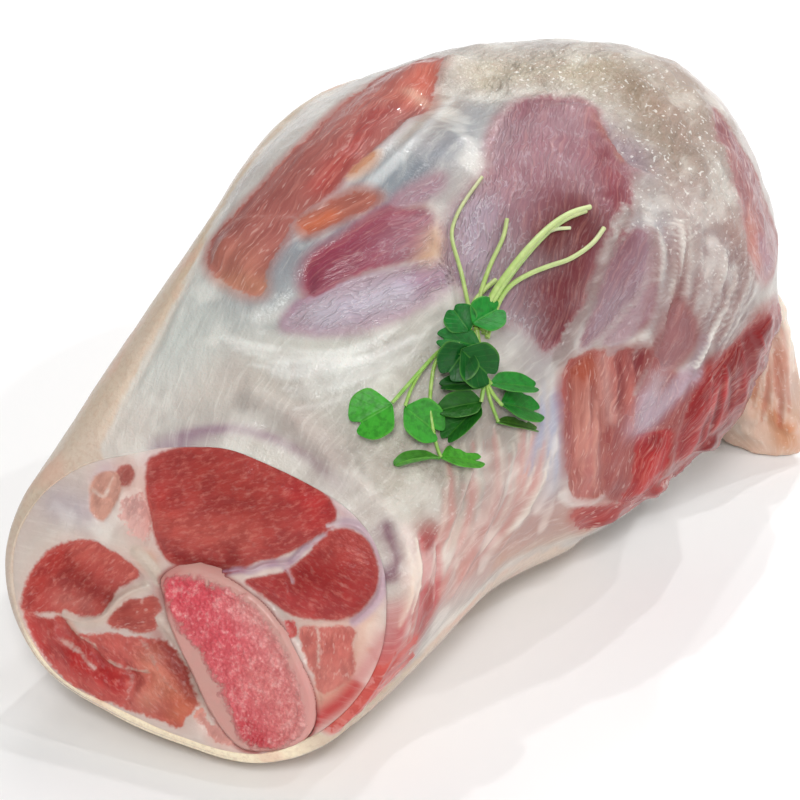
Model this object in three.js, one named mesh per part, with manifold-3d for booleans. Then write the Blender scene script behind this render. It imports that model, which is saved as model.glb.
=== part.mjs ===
// Raw pork hock: the meat with its rind, the sawn shin bone in it, and a bunch of sprouts on top.
// Millimetres, +Z up. The spine runs along +X from the sawn end to the rounded far end.
// The origin is under the middle of the hock, on the surface it lies on.
import * as THREE from 'three';
import { mergeVertices } from 'three/addons/utils/BufferGeometryUtils.js';
import Module from 'manifold-3d';

const wasm = await Module();
wasm.setup();

// The hock's form: where its sides, underside and top lie, at six stations along the spine
const SPINE_START = -88;
const SPINE_LENGTH = 194;
const NEAR_SIDE = [-42, -44, -49, -63, -65, -64];
const FAR_SIDE = [42, 47, 54, 63, 58, 60];
const UNDERSIDE = [9, 0, -1.5, -1.5, 0, 6];
const TOP_SIDE = [69, 96, 111, 108, 113, 112];
const SQUARENESS = 2.25;

// The rounded far end starts at this share of the spine
const DOME_START = 0.56;
const DOME_POWER = 2.2;

// The sawn end leans back and turns to one side, and has an outline of its own: radii from its
// middle every 30 degrees, from the far side (+Y) up over the top
const CUT_TILT = 25;
const CUT_TURN = 15;
const CUT_FADE_LENGTH = 0.5;
const CUT_FADE_POWER = 1.2;
const CUT_RADII = [47, 42.5, 36.5, 36, 38, 45, 46, 43, 39.5, 34.5, 36, 43.5];
const OUTLINE_FADE_LENGTH = 0.35;

// Gentle lumps and hollows of the outside: middle, height and radius
const LUMPS = [
  { middle: [85, -18, 94], height: 4, radius: 16 },
  { middle: [23, 47, 92], height: 2.8, radius: 20 },
  { middle: [46, 21, 105], height: -1.2, radius: 12 },
  { middle: [5, -39, 13], height: 2.2, radius: 14 },
  { middle: [34, -55, 23], height: -0.8, radius: 10 },
  { middle: [-66, -37, 14], height: -1.2, radius: 14 },
  { middle: [76, -51, 67], height: 1.6, radius: 14 },
];

// Muscles, tendons and the rind's lower collar, which stand out: two ends, height and half-width
const BELLIES = [
  { ends: [[48, 20, 105], [-26, 30, 92]], height: 2.2, radius: 8 },
  { ends: [[2, -2, 110], [-22, 8, 100]], height: 2.2, radius: 8 },
  { ends: [[58, -8, 104], [22, -26, 104]], height: 2.2, radius: 14 },
  { ends: [[60, -38, 86], [16, -48, 84]], height: 2, radius: 5 },
  { ends: [[68, -44, 66], [22, -56, 52]], height: 2.2, radius: 7 },
  { ends: [[84, -46, 24], [102, -10, 26]], height: 4, radius: 10 },
  { ends: [[102, -10, 26], [92, 36, 26]], height: 2.5, radius: 10 },
];

// Muscles that bulge from the sawn face: place on it, half-length, half-width, turn and height
const CUT_MUSCLES = [
  { across: -5, up: 21, long: 22, wide: 12, turn: 12, height: 2 },
  { across: -27, up: 10, long: 13, wide: 9, turn: 25, height: 1.8 },
  { across: 28, up: -5, long: 14, wide: 10, turn: -15, height: 1.8 },
  { across: 19, up: -22, long: 17, wide: 7, turn: 20, height: 1.2 },
  { across: -31, up: -8, long: 9, wide: 7, turn: 70, height: 1.4 },
  { across: 22, up: 16, long: 9, wide: 7, turn: 60, height: 0.8 },
];

// The shin bone: where it comes out of the sawn face, its half-sizes there, and its run inside
const BONE_ACROSS = -10.5;
const BONE_UP = -12;
const BONE_HALF_LENGTH = 24.5;
const BONE_HALF_WIDTH = 12.4;
const BONE_TURN = 42;
const BONE_SQUARENESS = 2.4;
const BONE_REACH = 0.52;
const BONE_SHAFT_SCALE = 0.62;
const BONE_PROUD = 0.6;
const BONE_WANDER = 0.7; // share of its offset that the bone loses from the cut to its hidden end
const BONE_END_SHARE = 0.97; // how much of the end's rounding is left flat
const BONE_END_POWER = 8;
const MARROW_SLOPE = 0.06; // width of the slope round the marrow, as a share of the bone
const SOCKET_REACH = 6; // how far the socket is cut out in front of the sawn face
const BONE_END_ROUNDING = 1.5;
const MARROW_DEPTH = 1;
const MARROW_SHARE = 0.84;
const GAP = 0.3;

// The rind flap that stands off at the far end's near corner: the plane it lies in, and at some
// heights its free edge and its root along that plane, and its half-thickness
const FLAP_FACING = [-0.829, -0.559, -0.083];
const FLAP_OFFSET = -34;
const FLAP_HEIGHTS = [0.5, 6, 18, 30, 41, 51, 58];
const FLAP_EDGE = [93, 97, 95, 93, 91, 88, 83];
const FLAP_ROOT = [84, 76, 70, 66, 64, 64, 70];
const FLAP_HALF_THICKNESS = [2, 3.8, 5, 6.4, 7.4, 7, 4];
const FLAP_BEND = 0.012;
const FLAP_EDGE_SHARE = 0.6; // of the thickness, at the free edge
const FLAP_BACKING = 22; // how far its back swells towards the root, where it grows out of the hock
const FLAP_SIDES = 16;

// Sprouts: stems as paths seen from above, with their radius
const STEM_LIFT = 1.9;
const STEM_SIDES = 5;
const STEMS = [
  { radius: 0.6, path: [[0, -17], [-9, -18], [-14, -18.5], [-17.5, -20], [-21, -25], [-26, -32]] },
  { radius: 0.7, path: [[-5, -27], [-9, -28.5], [-14.5, -29], [-18.5, -30], [-24, -31]] },
  { radius: 1.1, path: [[16, -36], [9, -34.5], [2, -33.5], [-6, -33], [-14, -32], [-24, -32.5]] },
  { radius: 0.75, path: [[14, -40.5], [8, -41], [1, -39.5], [-10, -35], [-19, -34], [-25, -33]] },
  { radius: 0.9, path: [[-24, -32], [-27, -34], [-31, -35], [-33, -37.5]] },
  { radius: 0.6, path: [[-31, -33], [-35, -30], [-41.5, -28.5], [-50.5, -26]] },
  { radius: 0.6, path: [[-41, -28.5], [-45.5, -28.5], [-50, -29.5]] },
  { radius: 0.6, path: [[-34, -32], [-38, -30], [-41, -31], [-45.5, -33], [-49, -37], [-50, -39]] },
  { radius: 0.6, path: [[-32, -37], [-35.5, -39.5]] },
  { radius: 0.6, path: [[-31, -37.5], [-29, -42.5]] },
  { radius: 0.6, path: [[-32, -37.5], [-32.5, -43]] },
];

// Sprout leaves: base and tip seen from above, and width
const LEAF_LIFT = 2.2;
const LEAF_THICKNESS = 1.3;
const LEAF_BASE = 0.3; // half of its width where the stem meets it
const LEAF_LOBE = 1.04; // where its lobes end, as a share of its length
const LEAF_NOTCH = 0.94; // where the notch between them ends
const LEAF_SWELL = 1.3; // how far its sides are drawn out, as a share of its half-width
const LEAVES = [
  { base: [-49, -27], tip: [-58, -21], width: 11 },
  { base: [-49, -28.5], tip: [-48, -37], width: 7 },
  { base: [-49, -38.5], tip: [-57.5, -32.5], width: 4 },
  { base: [-50, -38.5], tip: [-40.5, -43], width: 6 },
  { base: [-26, -32], tip: [-31, -27], width: 7 },
  { base: [-27, -32], tip: [-19, -35], width: 8 },
  { base: [-33, -35], tip: [-30, -29.5], width: 10 },
  { base: [-29, -32], tip: [-36, -38], width: 13 },
  { base: [-31, -39], tip: [-41, -33], width: 5 },
  { base: [-31, -38], tip: [-19, -43.5], width: 6 },
  { base: [-30, -42], tip: [-20, -45], width: 8 },
  { base: [-32.5, -42.5], tip: [-21.5, -46], width: 4 },
  { base: [-34, -39], tip: [-46.5, -38], width: 9 },
];

// Fineness of the faceted surfaces
const RINGS = 38;
const SIDES = 60;
const CUT_RINGS = 8;
const RING_CROWDING = 1.6;
const BONE_RINGS = 9;
const BONE_SIDES = 28;
const TINY = 1e-6;
const RAY_HEIGHT = 200;

const radians = THREE.MathUtils.degToRad;
const clamp = THREE.MathUtils.clamp;

/** A smooth curve through evenly spaced values; share runs from 0 to 1. */
function alongSpine(values, share) {
  const last = values.length - 1;
  const index = clamp(Math.floor(share * last), 0, last - 1);
  const part = share * last - index;
  const slope = (i) => (values[Math.min(i + 1, last)] - values[Math.max(i - 1, 0)])
    / (i === 0 || i === last ? 1 : 2);
  const square = part * part;
  const cube = square * part;
  return (2 * cube - 3 * square + 1) * values[index]
    + (cube - 2 * square + part) * slope(index)
    + (3 * square - 2 * cube) * values[index + 1]
    + (cube - square) * slope(index + 1);
}

/** A closed smooth curve through the cut's radii, at an angle in radians. */
function cutRadius(angle) {
  const count = CUT_RADII.length;
  const turns = angle / (2 * Math.PI);
  const place = (turns - Math.floor(turns)) * count;
  const index = Math.floor(place);
  const part = place - index;
  const [a, b, c, d] = [-1, 0, 1, 2].map((step) => CUT_RADII[(index + step + count) % count]);
  return 0.5 * (2 * b + (c - a) * part + (2 * a - 5 * b + 4 * c - d) * part ** 2
    + (3 * b - a - 3 * c + d) * part ** 3);
}

/** The radius of a rounded box outline with half-sizes wide and high. */
function roundedRadius(angle, wide, high, power) {
  const sum = Math.abs(Math.cos(angle) / wide) ** power + Math.abs(Math.sin(angle) / high) ** power;
  return sum ** (-1 / power);
}

/** Middle, half-sizes and directions of the section at a share of the spine. */
function section(share) {
  const near = alongSpine(NEAR_SIDE, share);
  const far = alongSpine(FAR_SIDE, share);
  const low = alongSpine(UNDERSIDE, share);
  const high = alongSpine(TOP_SIDE, share);
  const fade = clamp(1 - share / CUT_FADE_LENGTH, 0, 1) ** CUT_FADE_POWER;
  const tilt = radians(CUT_TILT) * fade;
  const turn = radians(CUT_TURN) * fade;
  return {
    middle: new THREE.Vector3(SPINE_START + SPINE_LENGTH * share, (near + far) / 2, (low + high) / 2),
    halfWide: (far - near) / 2,
    halfHigh: (high - low) / 2,
    across: new THREE.Vector3(-Math.sin(turn), Math.cos(turn), 0),
    up: new THREE.Vector3(Math.sin(tilt) * Math.cos(turn), Math.sin(tilt) * Math.sin(turn), Math.cos(tilt)),
  };
}

/** A point of a section, by its place across and up. */
function inSection(place, across, up) {
  return place.middle.clone().addScaledVector(place.across, across).addScaledVector(place.up, up);
}

/** A point of the hock's outside before its lumps, by share of the spine and angle. */
function outsidePoint(share, angle) {
  const place = section(share);
  const past = clamp((share - DOME_START) / (1 - DOME_START), 0, 1);
  const dome = Math.sqrt(Math.max(1 - past ** DOME_POWER, TINY));
  const wide = place.halfWide * dome;
  const high = place.halfHigh * dome;
  const cut = section(0);
  const plain = roundedRadius(angle, cut.halfWide, cut.halfHigh, SQUARENESS);
  const blend = THREE.MathUtils.smoothstep(1 - share / OUTLINE_FADE_LENGTH, 0, 1);
  const radius = roundedRadius(angle, wide, high, SQUARENESS)
    * (1 + blend * (cutRadius(angle) / plain - 1));
  return inSection(place, radius * Math.cos(angle), radius * Math.sin(angle));
}

/** Distance from a point to the straight line between two ends. */
function distanceToLine(point, ends) {
  const line = new THREE.Line3(new THREE.Vector3(...ends[0]), new THREE.Vector3(...ends[1]));
  return line.closestPointToPoint(point, true, new THREE.Vector3()).distanceTo(point);
}

/** A soft bell of the distance, 1 in the middle. */
function bell(distance, radius) {
  return Math.exp(-(distance ** 2) / (2 * radius ** 2));
}

/** How far the lumps and bellies push the outside out at a point. */
function relief(point) {
  let push = 0;
  for (const lump of LUMPS) {
    push += lump.height * bell(point.distanceTo(new THREE.Vector3(...lump.middle)), lump.radius);
  }
  for (const belly of BELLIES) {
    push += belly.height * bell(distanceToLine(point, belly.ends), belly.radius);
  }
  return push;
}

/** How far the sawn face bulges at a place on it. */
function cutRelief(across, up) {
  let rise = 0;
  for (const muscle of CUT_MUSCLES) {
    const turn = radians(muscle.turn);
    const x = across - muscle.across;
    const y = up - muscle.up;
    const lengthwise = (x * Math.cos(turn) + y * Math.sin(turn)) / muscle.long;
    const widthwise = (y * Math.cos(turn) - x * Math.sin(turn)) / muscle.wide;
    const level = 1 - lengthwise ** 2 - widthwise ** 2;
    rise = Math.max(rise, muscle.height * Math.sqrt(Math.max(level, 0)));
  }
  return rise;
}

/** A closed body from rings of points, with a middle point closing each end. */
function closedRings(firstMiddle, rings, lastMiddle) {
  const sides = rings[0].length;
  const points = [firstMiddle, ...rings.flat(), lastMiddle];
  const faces = [];
  const at = (ring, side) => 1 + ring * sides + (side % sides);
  for (let side = 0; side < sides; side += 1) {
    faces.push(0, at(0, side + 1), at(0, side));
    for (let ring = 0; ring < rings.length - 1; ring += 1) {
      faces.push(at(ring, side), at(ring, side + 1), at(ring + 1, side + 1));
      faces.push(at(ring, side), at(ring + 1, side + 1), at(ring + 1, side));
    }
    faces.push(at(rings.length - 1, side), at(rings.length - 1, side + 1), points.length - 1);
  }
  const geometry = new THREE.BufferGeometry().setFromPoints(points);
  geometry.setIndex(faces);
  return geometry;
}

/** Turns a closed geometry into a solid that can be joined and cut. */
function toSolid(geometry) {
  const bare = geometry.clone();
  bare.deleteAttribute('normal');
  bare.deleteAttribute('uv');
  const merged = mergeVertices(bare, 1e-4);
  return new wasm.Manifold(new wasm.Mesh({
    numProp: 3,
    vertProperties: new Float32Array(merged.getAttribute('position').array),
    triVerts: new Uint32Array(merged.index.array),
  }));
}

/** Turns a solid back into a geometry. */
function toGeometry(solid) {
  const mesh = solid.getMesh();
  const geometry = new THREE.BufferGeometry();
  geometry.setAttribute('position', new THREE.BufferAttribute(new Float32Array(mesh.vertProperties), 3));
  geometry.setIndex(new THREE.BufferAttribute(new Uint32Array(mesh.triVerts), 1));
  geometry.computeVertexNormals();
  return geometry;
}

/** The hock's outside as one closed body: the sawn face, the rings along it and the far tip. */
function hockBody() {
  const cut = section(0);
  const outward = new THREE.Vector3().crossVectors(cut.up, cut.across).normalize();
  const rings = [];
  for (let ring = 1; ring < CUT_RINGS; ring += 1) {
    const share = Math.sqrt(ring / CUT_RINGS);
    const points = [];
    for (let side = 0; side < SIDES; side += 1) {
      const angle = (2 * Math.PI * side) / SIDES;
      const across = share * cutRadius(angle) * Math.cos(angle);
      const up = share * cutRadius(angle) * Math.sin(angle);
      points.push(inSection(cut, across, up).addScaledVector(outward, cutRelief(across, up)));
    }
    rings.push(points);
  }
  for (let ring = 0; ring < RINGS; ring += 1) {
    const share = 1 - (1 - ring / RINGS) ** RING_CROWDING;
    const points = [];
    for (let side = 0; side < SIDES; side += 1) {
      const angle = (2 * Math.PI * side) / SIDES;
      points.push(outsidePoint(share, angle));
    }
    rings.push(points);
  }
  const tip = section(1).middle;
  const middle = inSection(cut, 0, 0).addScaledVector(outward, cutRelief(0, 0));
  const geometry = closedRings(middle, rings, tip);
  geometry.computeVertexNormals();
  pushOut(geometry, 1 + (CUT_RINGS - 1) * SIDES);
  return geometry;
}

/** Pushes the outside along its normals by its relief, and rests it on the surface below. */
function pushOut(geometry, firstOutside) {
  const position = geometry.getAttribute('position');
  const normal = geometry.getAttribute('normal');
  for (let i = 0; i < position.count; i += 1) {
    const point = new THREE.Vector3().fromBufferAttribute(position, i);
    const direction = new THREE.Vector3().fromBufferAttribute(normal, i);
    if (i >= firstOutside + SIDES) {
      point.addScaledVector(direction, relief(point));
    }
    position.setXYZ(i, point.x, point.y, Math.max(point.z, 0));
  }
}

/** The rind flap: a tongue of rind that bends round the far end and thins towards its free edge. */
function rindFlap() {
  const facing = new THREE.Vector3(...FLAP_FACING).normalize();
  const along = new THREE.Vector3(-FLAP_FACING[1], FLAP_FACING[0], 0).normalize();
  const place = (distance, thickness, height) => along.clone().multiplyScalar(distance)
    .addScaledVector(facing, FLAP_OFFSET + thickness)
    .setZ(height);
  const rings = FLAP_HEIGHTS.map((height, row) => {
    const middle = (FLAP_EDGE[row] + FLAP_ROOT[row]) / 2;
    const half = (FLAP_EDGE[row] - FLAP_ROOT[row]) / 2;
    const points = [];
    for (let side = 0; side < FLAP_SIDES; side += 1) {
      const angle = (-2 * Math.PI * side) / FLAP_SIDES;
      const inward = half * (1 - Math.cos(angle));
      const swell = FLAP_EDGE_SHARE + (1 - FLAP_EDGE_SHARE) * inward / half;
      const backing = FLAP_BACKING * Math.min(Math.sin(angle), 0) * inward / (2 * half);
      const thickness = FLAP_HALF_THICKNESS[row] * swell * Math.sin(angle) + backing;
      points.push(place(middle + half * Math.cos(angle), thickness - FLAP_BEND * inward ** 2, height));
    }
    return points;
  });
  const last = FLAP_HEIGHTS.length - 1;
  const end = (row) => place((FLAP_EDGE[row] + FLAP_ROOT[row]) / 2, 0, FLAP_HEIGHTS[row]);
  return closedRings(end(0), rings, end(last));
}

/** How much of its offset from the spine the bone still has at a share of the spine. */
function boneShift(share) {
  return 1 - BONE_WANDER * share / BONE_REACH;
}

/** The shin bone, grown by a margin all round: its sawn end, its shaft and its hidden end. */
function boneBody(margin, proud, marrowDepth) {
  const rings = [];
  const cut = section(0);
  const outward = new THREE.Vector3().crossVectors(cut.up, cut.across).normalize();
  const ring = (share, scale, lift) => {
    const place = section(share);
    const shift = boneShift(share);
    const points = [];
    for (let side = 0; side < BONE_SIDES; side += 1) {
      const angle = (2 * Math.PI * side) / BONE_SIDES;
      const plain = roundedRadius(angle, BONE_HALF_LENGTH, BONE_HALF_WIDTH, BONE_SQUARENESS);
      const radius = plain * scale + margin;
      const turned = angle + radians(BONE_TURN);
      const across = BONE_ACROSS * shift + radius * Math.cos(turned);
      const up = BONE_UP * shift + radius * Math.sin(turned);
      points.push(inSection(place, across, up).addScaledVector(outward, lift));
    }
    return points;
  };
  const middle = (share, lift) => {
    const place = section(share);
    const shift = boneShift(share);
    return inSection(place, BONE_ACROSS * shift, BONE_UP * shift).addScaledVector(outward, lift);
  };
  rings.push(ring(0, MARROW_SHARE / 2, proud - marrowDepth));
  rings.push(ring(0, MARROW_SHARE, proud - marrowDepth));
  rings.push(ring(0, MARROW_SHARE + MARROW_SLOPE, proud));
  rings.push(ring(0, 1, proud));
  rings.push(ring(0, 1, 0));
  for (let i = 1; i <= BONE_RINGS; i += 1) {
    const share = i / BONE_RINGS;
    const shaft = THREE.MathUtils.lerp(1, BONE_SHAFT_SCALE, THREE.MathUtils.smoothstep(share, 0, 0.8));
    const end = Math.sqrt(Math.max(1 - (share * BONE_END_SHARE) ** BONE_END_POWER, 0));
    rings.push(ring(share * BONE_REACH, shaft * end, 0));
  }
  return closedRings(middle(0, proud - marrowDepth), rings, middle(BONE_REACH, -BONE_END_ROUNDING - 2 * margin));
}

/** Drops a place seen from above onto the hock, and returns the point and the outward direction. */
function onHock(target, [x, y]) {
  const ray = new THREE.Raycaster(new THREE.Vector3(x, y, RAY_HEIGHT), new THREE.Vector3(0, 0, -1));
  const hit = ray.intersectObject(target)[0];
  return { point: hit.point, outward: hit.face.normal.clone() };
}

/** One sprout stem: a thin rod that follows the hock's surface at a small distance. */
function sproutStem(target, stem) {
  const points = stem.path.map((place) => {
    const { point, outward } = onHock(target, place);
    return point.addScaledVector(outward, STEM_LIFT);
  });
  const curve = new THREE.CatmullRomCurve3(points);
  const outline = new THREE.Shape();
  for (let side = 0; side < STEM_SIDES; side += 1) {
    const angle = (2 * Math.PI * side) / STEM_SIDES;
    const x = stem.radius * Math.cos(angle);
    const y = stem.radius * Math.sin(angle);
    if (side === 0) {
      outline.moveTo(x, y);
    } else {
      outline.lineTo(x, y);
    }
  }
  outline.closePath();
  const steps = stem.path.length;
  return new THREE.ExtrudeGeometry(outline, { extrudePath: curve, steps });
}

/** One sprout leaf: a thin plate, narrow at its base, broad and notched at its tip. */
function sproutLeaf(target, leaf) {
  const foot = onHock(target, leaf.base);
  const end = onHock(target, leaf.tip);
  const base = foot.point.clone().addScaledVector(foot.outward, LEAF_LIFT);
  const tip = end.point.clone().addScaledVector(end.outward, LEAF_LIFT);
  const along = tip.clone().sub(base);
  const length = along.length();
  along.normalize();
  const mean = foot.outward.clone().add(end.outward).normalize();
  const across = new THREE.Vector3().crossVectors(mean, along).normalize();
  const outward = new THREE.Vector3().crossVectors(along, across);
  const half = leaf.width / 2;
  const outline = new THREE.Shape();
  const shoulder = half * 0.75;
  const waist = half * 0.7;
  const belly = half * LEAF_SWELL;
  outline.moveTo(-0.5, -LEAF_BASE);
  outline.bezierCurveTo(length * 0.3, -waist, length * 0.55, -belly, length, -shoulder);
  outline.quadraticCurveTo(length * LEAF_LOBE, -half * 0.3, length * LEAF_NOTCH, 0);
  outline.quadraticCurveTo(length * LEAF_LOBE, half * 0.3, length, shoulder);
  outline.bezierCurveTo(length * 0.55, belly, length * 0.3, waist, -0.5, LEAF_BASE);
  outline.closePath();
  const geometry = new THREE.ExtrudeGeometry(outline, {
    depth: LEAF_THICKNESS,
    bevelEnabled: false,
    curveSegments: 3,
  });
  geometry.translate(0, 0, -LEAF_THICKNESS / 2);
  const frame = new THREE.Matrix4().makeBasis(along, across, outward);
  frame.setPosition(base);
  return geometry.applyMatrix4(frame);
}

/** A named piece with its own material. */
function piece(name, geometry, color, roughness) {
  const material = new THREE.MeshStandardMaterial({ color, roughness, metalness: 0 });
  const mesh = new THREE.Mesh(geometry, material);
  mesh.name = name;
  return mesh;
}

const outside = new THREE.Mesh(hockBody(), new THREE.MeshBasicMaterial({ side: THREE.DoubleSide }));
outside.updateMatrixWorld(true);

const socket = toSolid(boneBody(GAP, SOCKET_REACH, 0));
const meat = toSolid(outside.geometry).add(toSolid(rindFlap())).subtract(socket);
const bone = toSolid(boneBody(0, BONE_PROUD, MARROW_DEPTH));

let sprouts = toSolid(sproutStem(outside, STEMS[0]));
for (const stem of STEMS.slice(1)) {
  sprouts = sprouts.add(toSolid(sproutStem(outside, stem)));
}
for (const leaf of LEAVES) {
  sprouts = sprouts.add(toSolid(sproutLeaf(outside, leaf)));
}

const hock = new THREE.Group();
hock.add(piece('hock', toGeometry(meat), 0xd9a9a0, 0.38));
hock.add(piece('shin_bone', toGeometry(bone), 0xd98c8c, 0.5));
hock.add(piece('sprout_bunch', toGeometry(sprouts), 0x2f8a2a, 0.45));

export default hock;
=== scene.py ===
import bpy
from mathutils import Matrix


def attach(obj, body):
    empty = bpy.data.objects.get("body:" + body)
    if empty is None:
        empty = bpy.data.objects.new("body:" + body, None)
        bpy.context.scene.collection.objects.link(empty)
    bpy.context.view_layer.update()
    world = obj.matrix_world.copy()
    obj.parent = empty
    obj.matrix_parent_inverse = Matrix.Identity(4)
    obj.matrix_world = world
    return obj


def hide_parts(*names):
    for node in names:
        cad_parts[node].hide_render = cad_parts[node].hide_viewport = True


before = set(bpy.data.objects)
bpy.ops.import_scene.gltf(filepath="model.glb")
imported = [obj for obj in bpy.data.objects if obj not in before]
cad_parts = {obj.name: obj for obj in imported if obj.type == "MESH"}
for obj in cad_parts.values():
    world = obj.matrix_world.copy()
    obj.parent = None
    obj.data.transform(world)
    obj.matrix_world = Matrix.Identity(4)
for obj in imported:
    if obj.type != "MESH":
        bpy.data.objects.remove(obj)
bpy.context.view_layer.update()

import logging
import math
from dataclasses import dataclass, field
from enum import Enum
from typing import Callable, Sequence

import bpy
import numpy as np
from mathutils import Matrix, Vector
from mathutils.bvhtree import BVHTree

Tint = tuple[int, int, int]
Place = tuple[float, float]
Path = tuple[Place, ...]
Array = np.ndarray

MM = 0.001
TINY = 1e-9
LATTICE_ORIGIN = 1000.0
LATTICE_PRIMES = (73856093, 19349663, 83492791)
SEED_PRIME = 2654435
MIXING_PRIMES = (1274126177, 668265263)
POSITIVE_BITS = 0x7FFFFFFF
log = logging.getLogger("pork_hock")


# ---------------------------------------------------------------- small tools


def linear(tint: Tint) -> Array:
    """Turn an 8-bit screen colour into linear light.

    Args:
        tint: Red, green and blue, 0 to 255.

    Returns:
        Three linear values, 0 to 1.
    """
    share = np.asarray(tint, float) / 255.0
    return np.where(share <= 0.04045, share / 12.92, ((share + 0.055) / 1.055) ** 2.4)


def meat_colour(tint: Tint) -> Array:
    """Linear colour of wet meat, deepened for the light that its shine adds."""
    return np.maximum(linear(tint) * 1.1 - 0.024, 0.003)


def smooth(values: Array, start: float, end: float) -> Array:
    """Rise smoothly from 0 at start to 1 at end.

    Args:
        values: Where to read the curve.
        start: Value that gives 0.
        end: Value that gives 1.

    Returns:
        The curve's values.
    """
    share = np.clip((values - start) / (end - start), 0.0, 1.0)
    return share * share * (3.0 - 2.0 * share)


def bell(distance: Array, radius: float) -> Array:
    """A soft bell of the distance, 1 in the middle."""
    return np.exp(-(distance ** 2) / (2.0 * radius ** 2))


def lattice_noise(points: Array, cell: float, seed: int) -> Array:
    """Smooth noise from random values on a cubic lattice.

    Args:
        points: Points in mm, one per row.
        cell: Lattice step in mm.
        seed: Which noise.

    Returns:
        One value per point, -1 to 1.
    """
    scaled = points / cell + LATTICE_ORIGIN
    base = np.floor(scaled).astype(np.int64)
    part = scaled - base
    part = part * part * (3.0 - 2.0 * part)
    total = np.zeros(len(points))
    x_prime, y_prime, z_prime = LATTICE_PRIMES
    for corner in range(8):
        step = np.array([corner & 1, (corner >> 1) & 1, corner >> 2])
        cells = base + step
        mixed = cells[:, 0] * x_prime ^ cells[:, 1] * y_prime ^ cells[:, 2] * z_prime ^ seed * SEED_PRIME
        mixed = (mixed ^ (mixed >> 13)) * MIXING_PRIMES[0] & POSITIVE_BITS
        mixed = (mixed ^ (mixed >> 15)) * MIXING_PRIMES[1] & POSITIVE_BITS
        value = (mixed & 0xFFFF) / 32767.5 - 1.0
        weight = np.where(step == 1, part, 1.0 - part).prod(axis=1)
        total += weight * value
    return total


def fractal_noise(points: Array, cell: float, octaves: int, seed: int) -> Array:
    """Layers of lattice noise, each twice as fine and half as strong.

    Args:
        points: Points in mm, one per row.
        cell: Coarsest lattice step in mm.
        octaves: How many layers.
        seed: Which noise.

    Returns:
        One value per point, about -1 to 1.
    """
    layers = [0.5 ** n * lattice_noise(points, cell * 0.5 ** n, seed + n) for n in range(octaves)]
    return np.sum(layers, axis=0)


class Texture(Enum):
    """Every noise that shapes or tints the meat: coarsest step in mm, layers, and which noise."""

    CLOUDS = (20.0, 4, 5)
    PATCHES = (8.0, 3, 6)
    BLOTCHES = (10.0, 3, 7)
    FASCIA_DRIFT = (40.0, 2, 11)
    FASCIA_WAVES = (7.0, 2, 12)
    RIND_EDGE = (26.0, 1, 31)
    RIND_EDGE_NICKS = (7.0, 1, 32)
    RIND_TONE = (38.0, 3, 41)
    FAT_LUMPS = (6.5, 3, 51)
    FAT_GRAINS = (3.0, 2, 55)
    FIBRE_WAVES = (5.0, 2, 56)
    FASCIA_RIPPLES = (5.0, 3, 61)
    HOLLOWS = (22.0, 1, 71)
    LIP_EDGE = (7.0, 1, 81)
    FACE_GRAINS = (3.0, 3, 91)
    FACE_WAVES = (14.0, 2, 92)
    MARROW_GRAINS = (1.8, 2, 101)
    FLAP_LUMPS = (12.0, 3, 111)
    FLAP_CREASES = (4.0, 2, 112)
    FLAP_EDGE = (13.0, 2, 121)

    def at(self, points: Array) -> Array:
        """One value per point, about -1 to 1."""
        return fractal_noise(points, *self.value)


def smooth_path(path: Sequence[Place], closed: bool, steps: int = 5) -> Array:
    """Run a smooth curve through a path's points.

    Args:
        path: The points.
        closed: Whether the curve returns to its start.
        steps: Points for each stretch.

    Returns:
        The curve's points, one per row.
    """
    points = np.asarray(path, float)
    if closed:
        padded = np.vstack([points[-1], points, points[0], points[1]])
    else:
        padded = np.vstack([2 * points[0] - points[1], points, 2 * points[-1] - points[-2]])
    out = []
    for index in range(1, len(padded) - 2):
        a, b, c, d = padded[index - 1: index + 3]
        for step in range(steps):
            t = step / steps
            out.append(0.5 * (2 * b + (c - a) * t + (2 * a - 5 * b + 4 * c - d) * t ** 2
                              + (3 * b - a - 3 * c + d) * t ** 3))
    if not closed:
        out.append(points[-1])
    return np.array(out)


def unit(vector: Sequence[float]) -> Array:
    """The vector at length 1."""
    vector = np.asarray(vector, float)
    return vector / np.linalg.norm(vector)


# ---------------------------------------------------------------- where things are seen from


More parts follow.
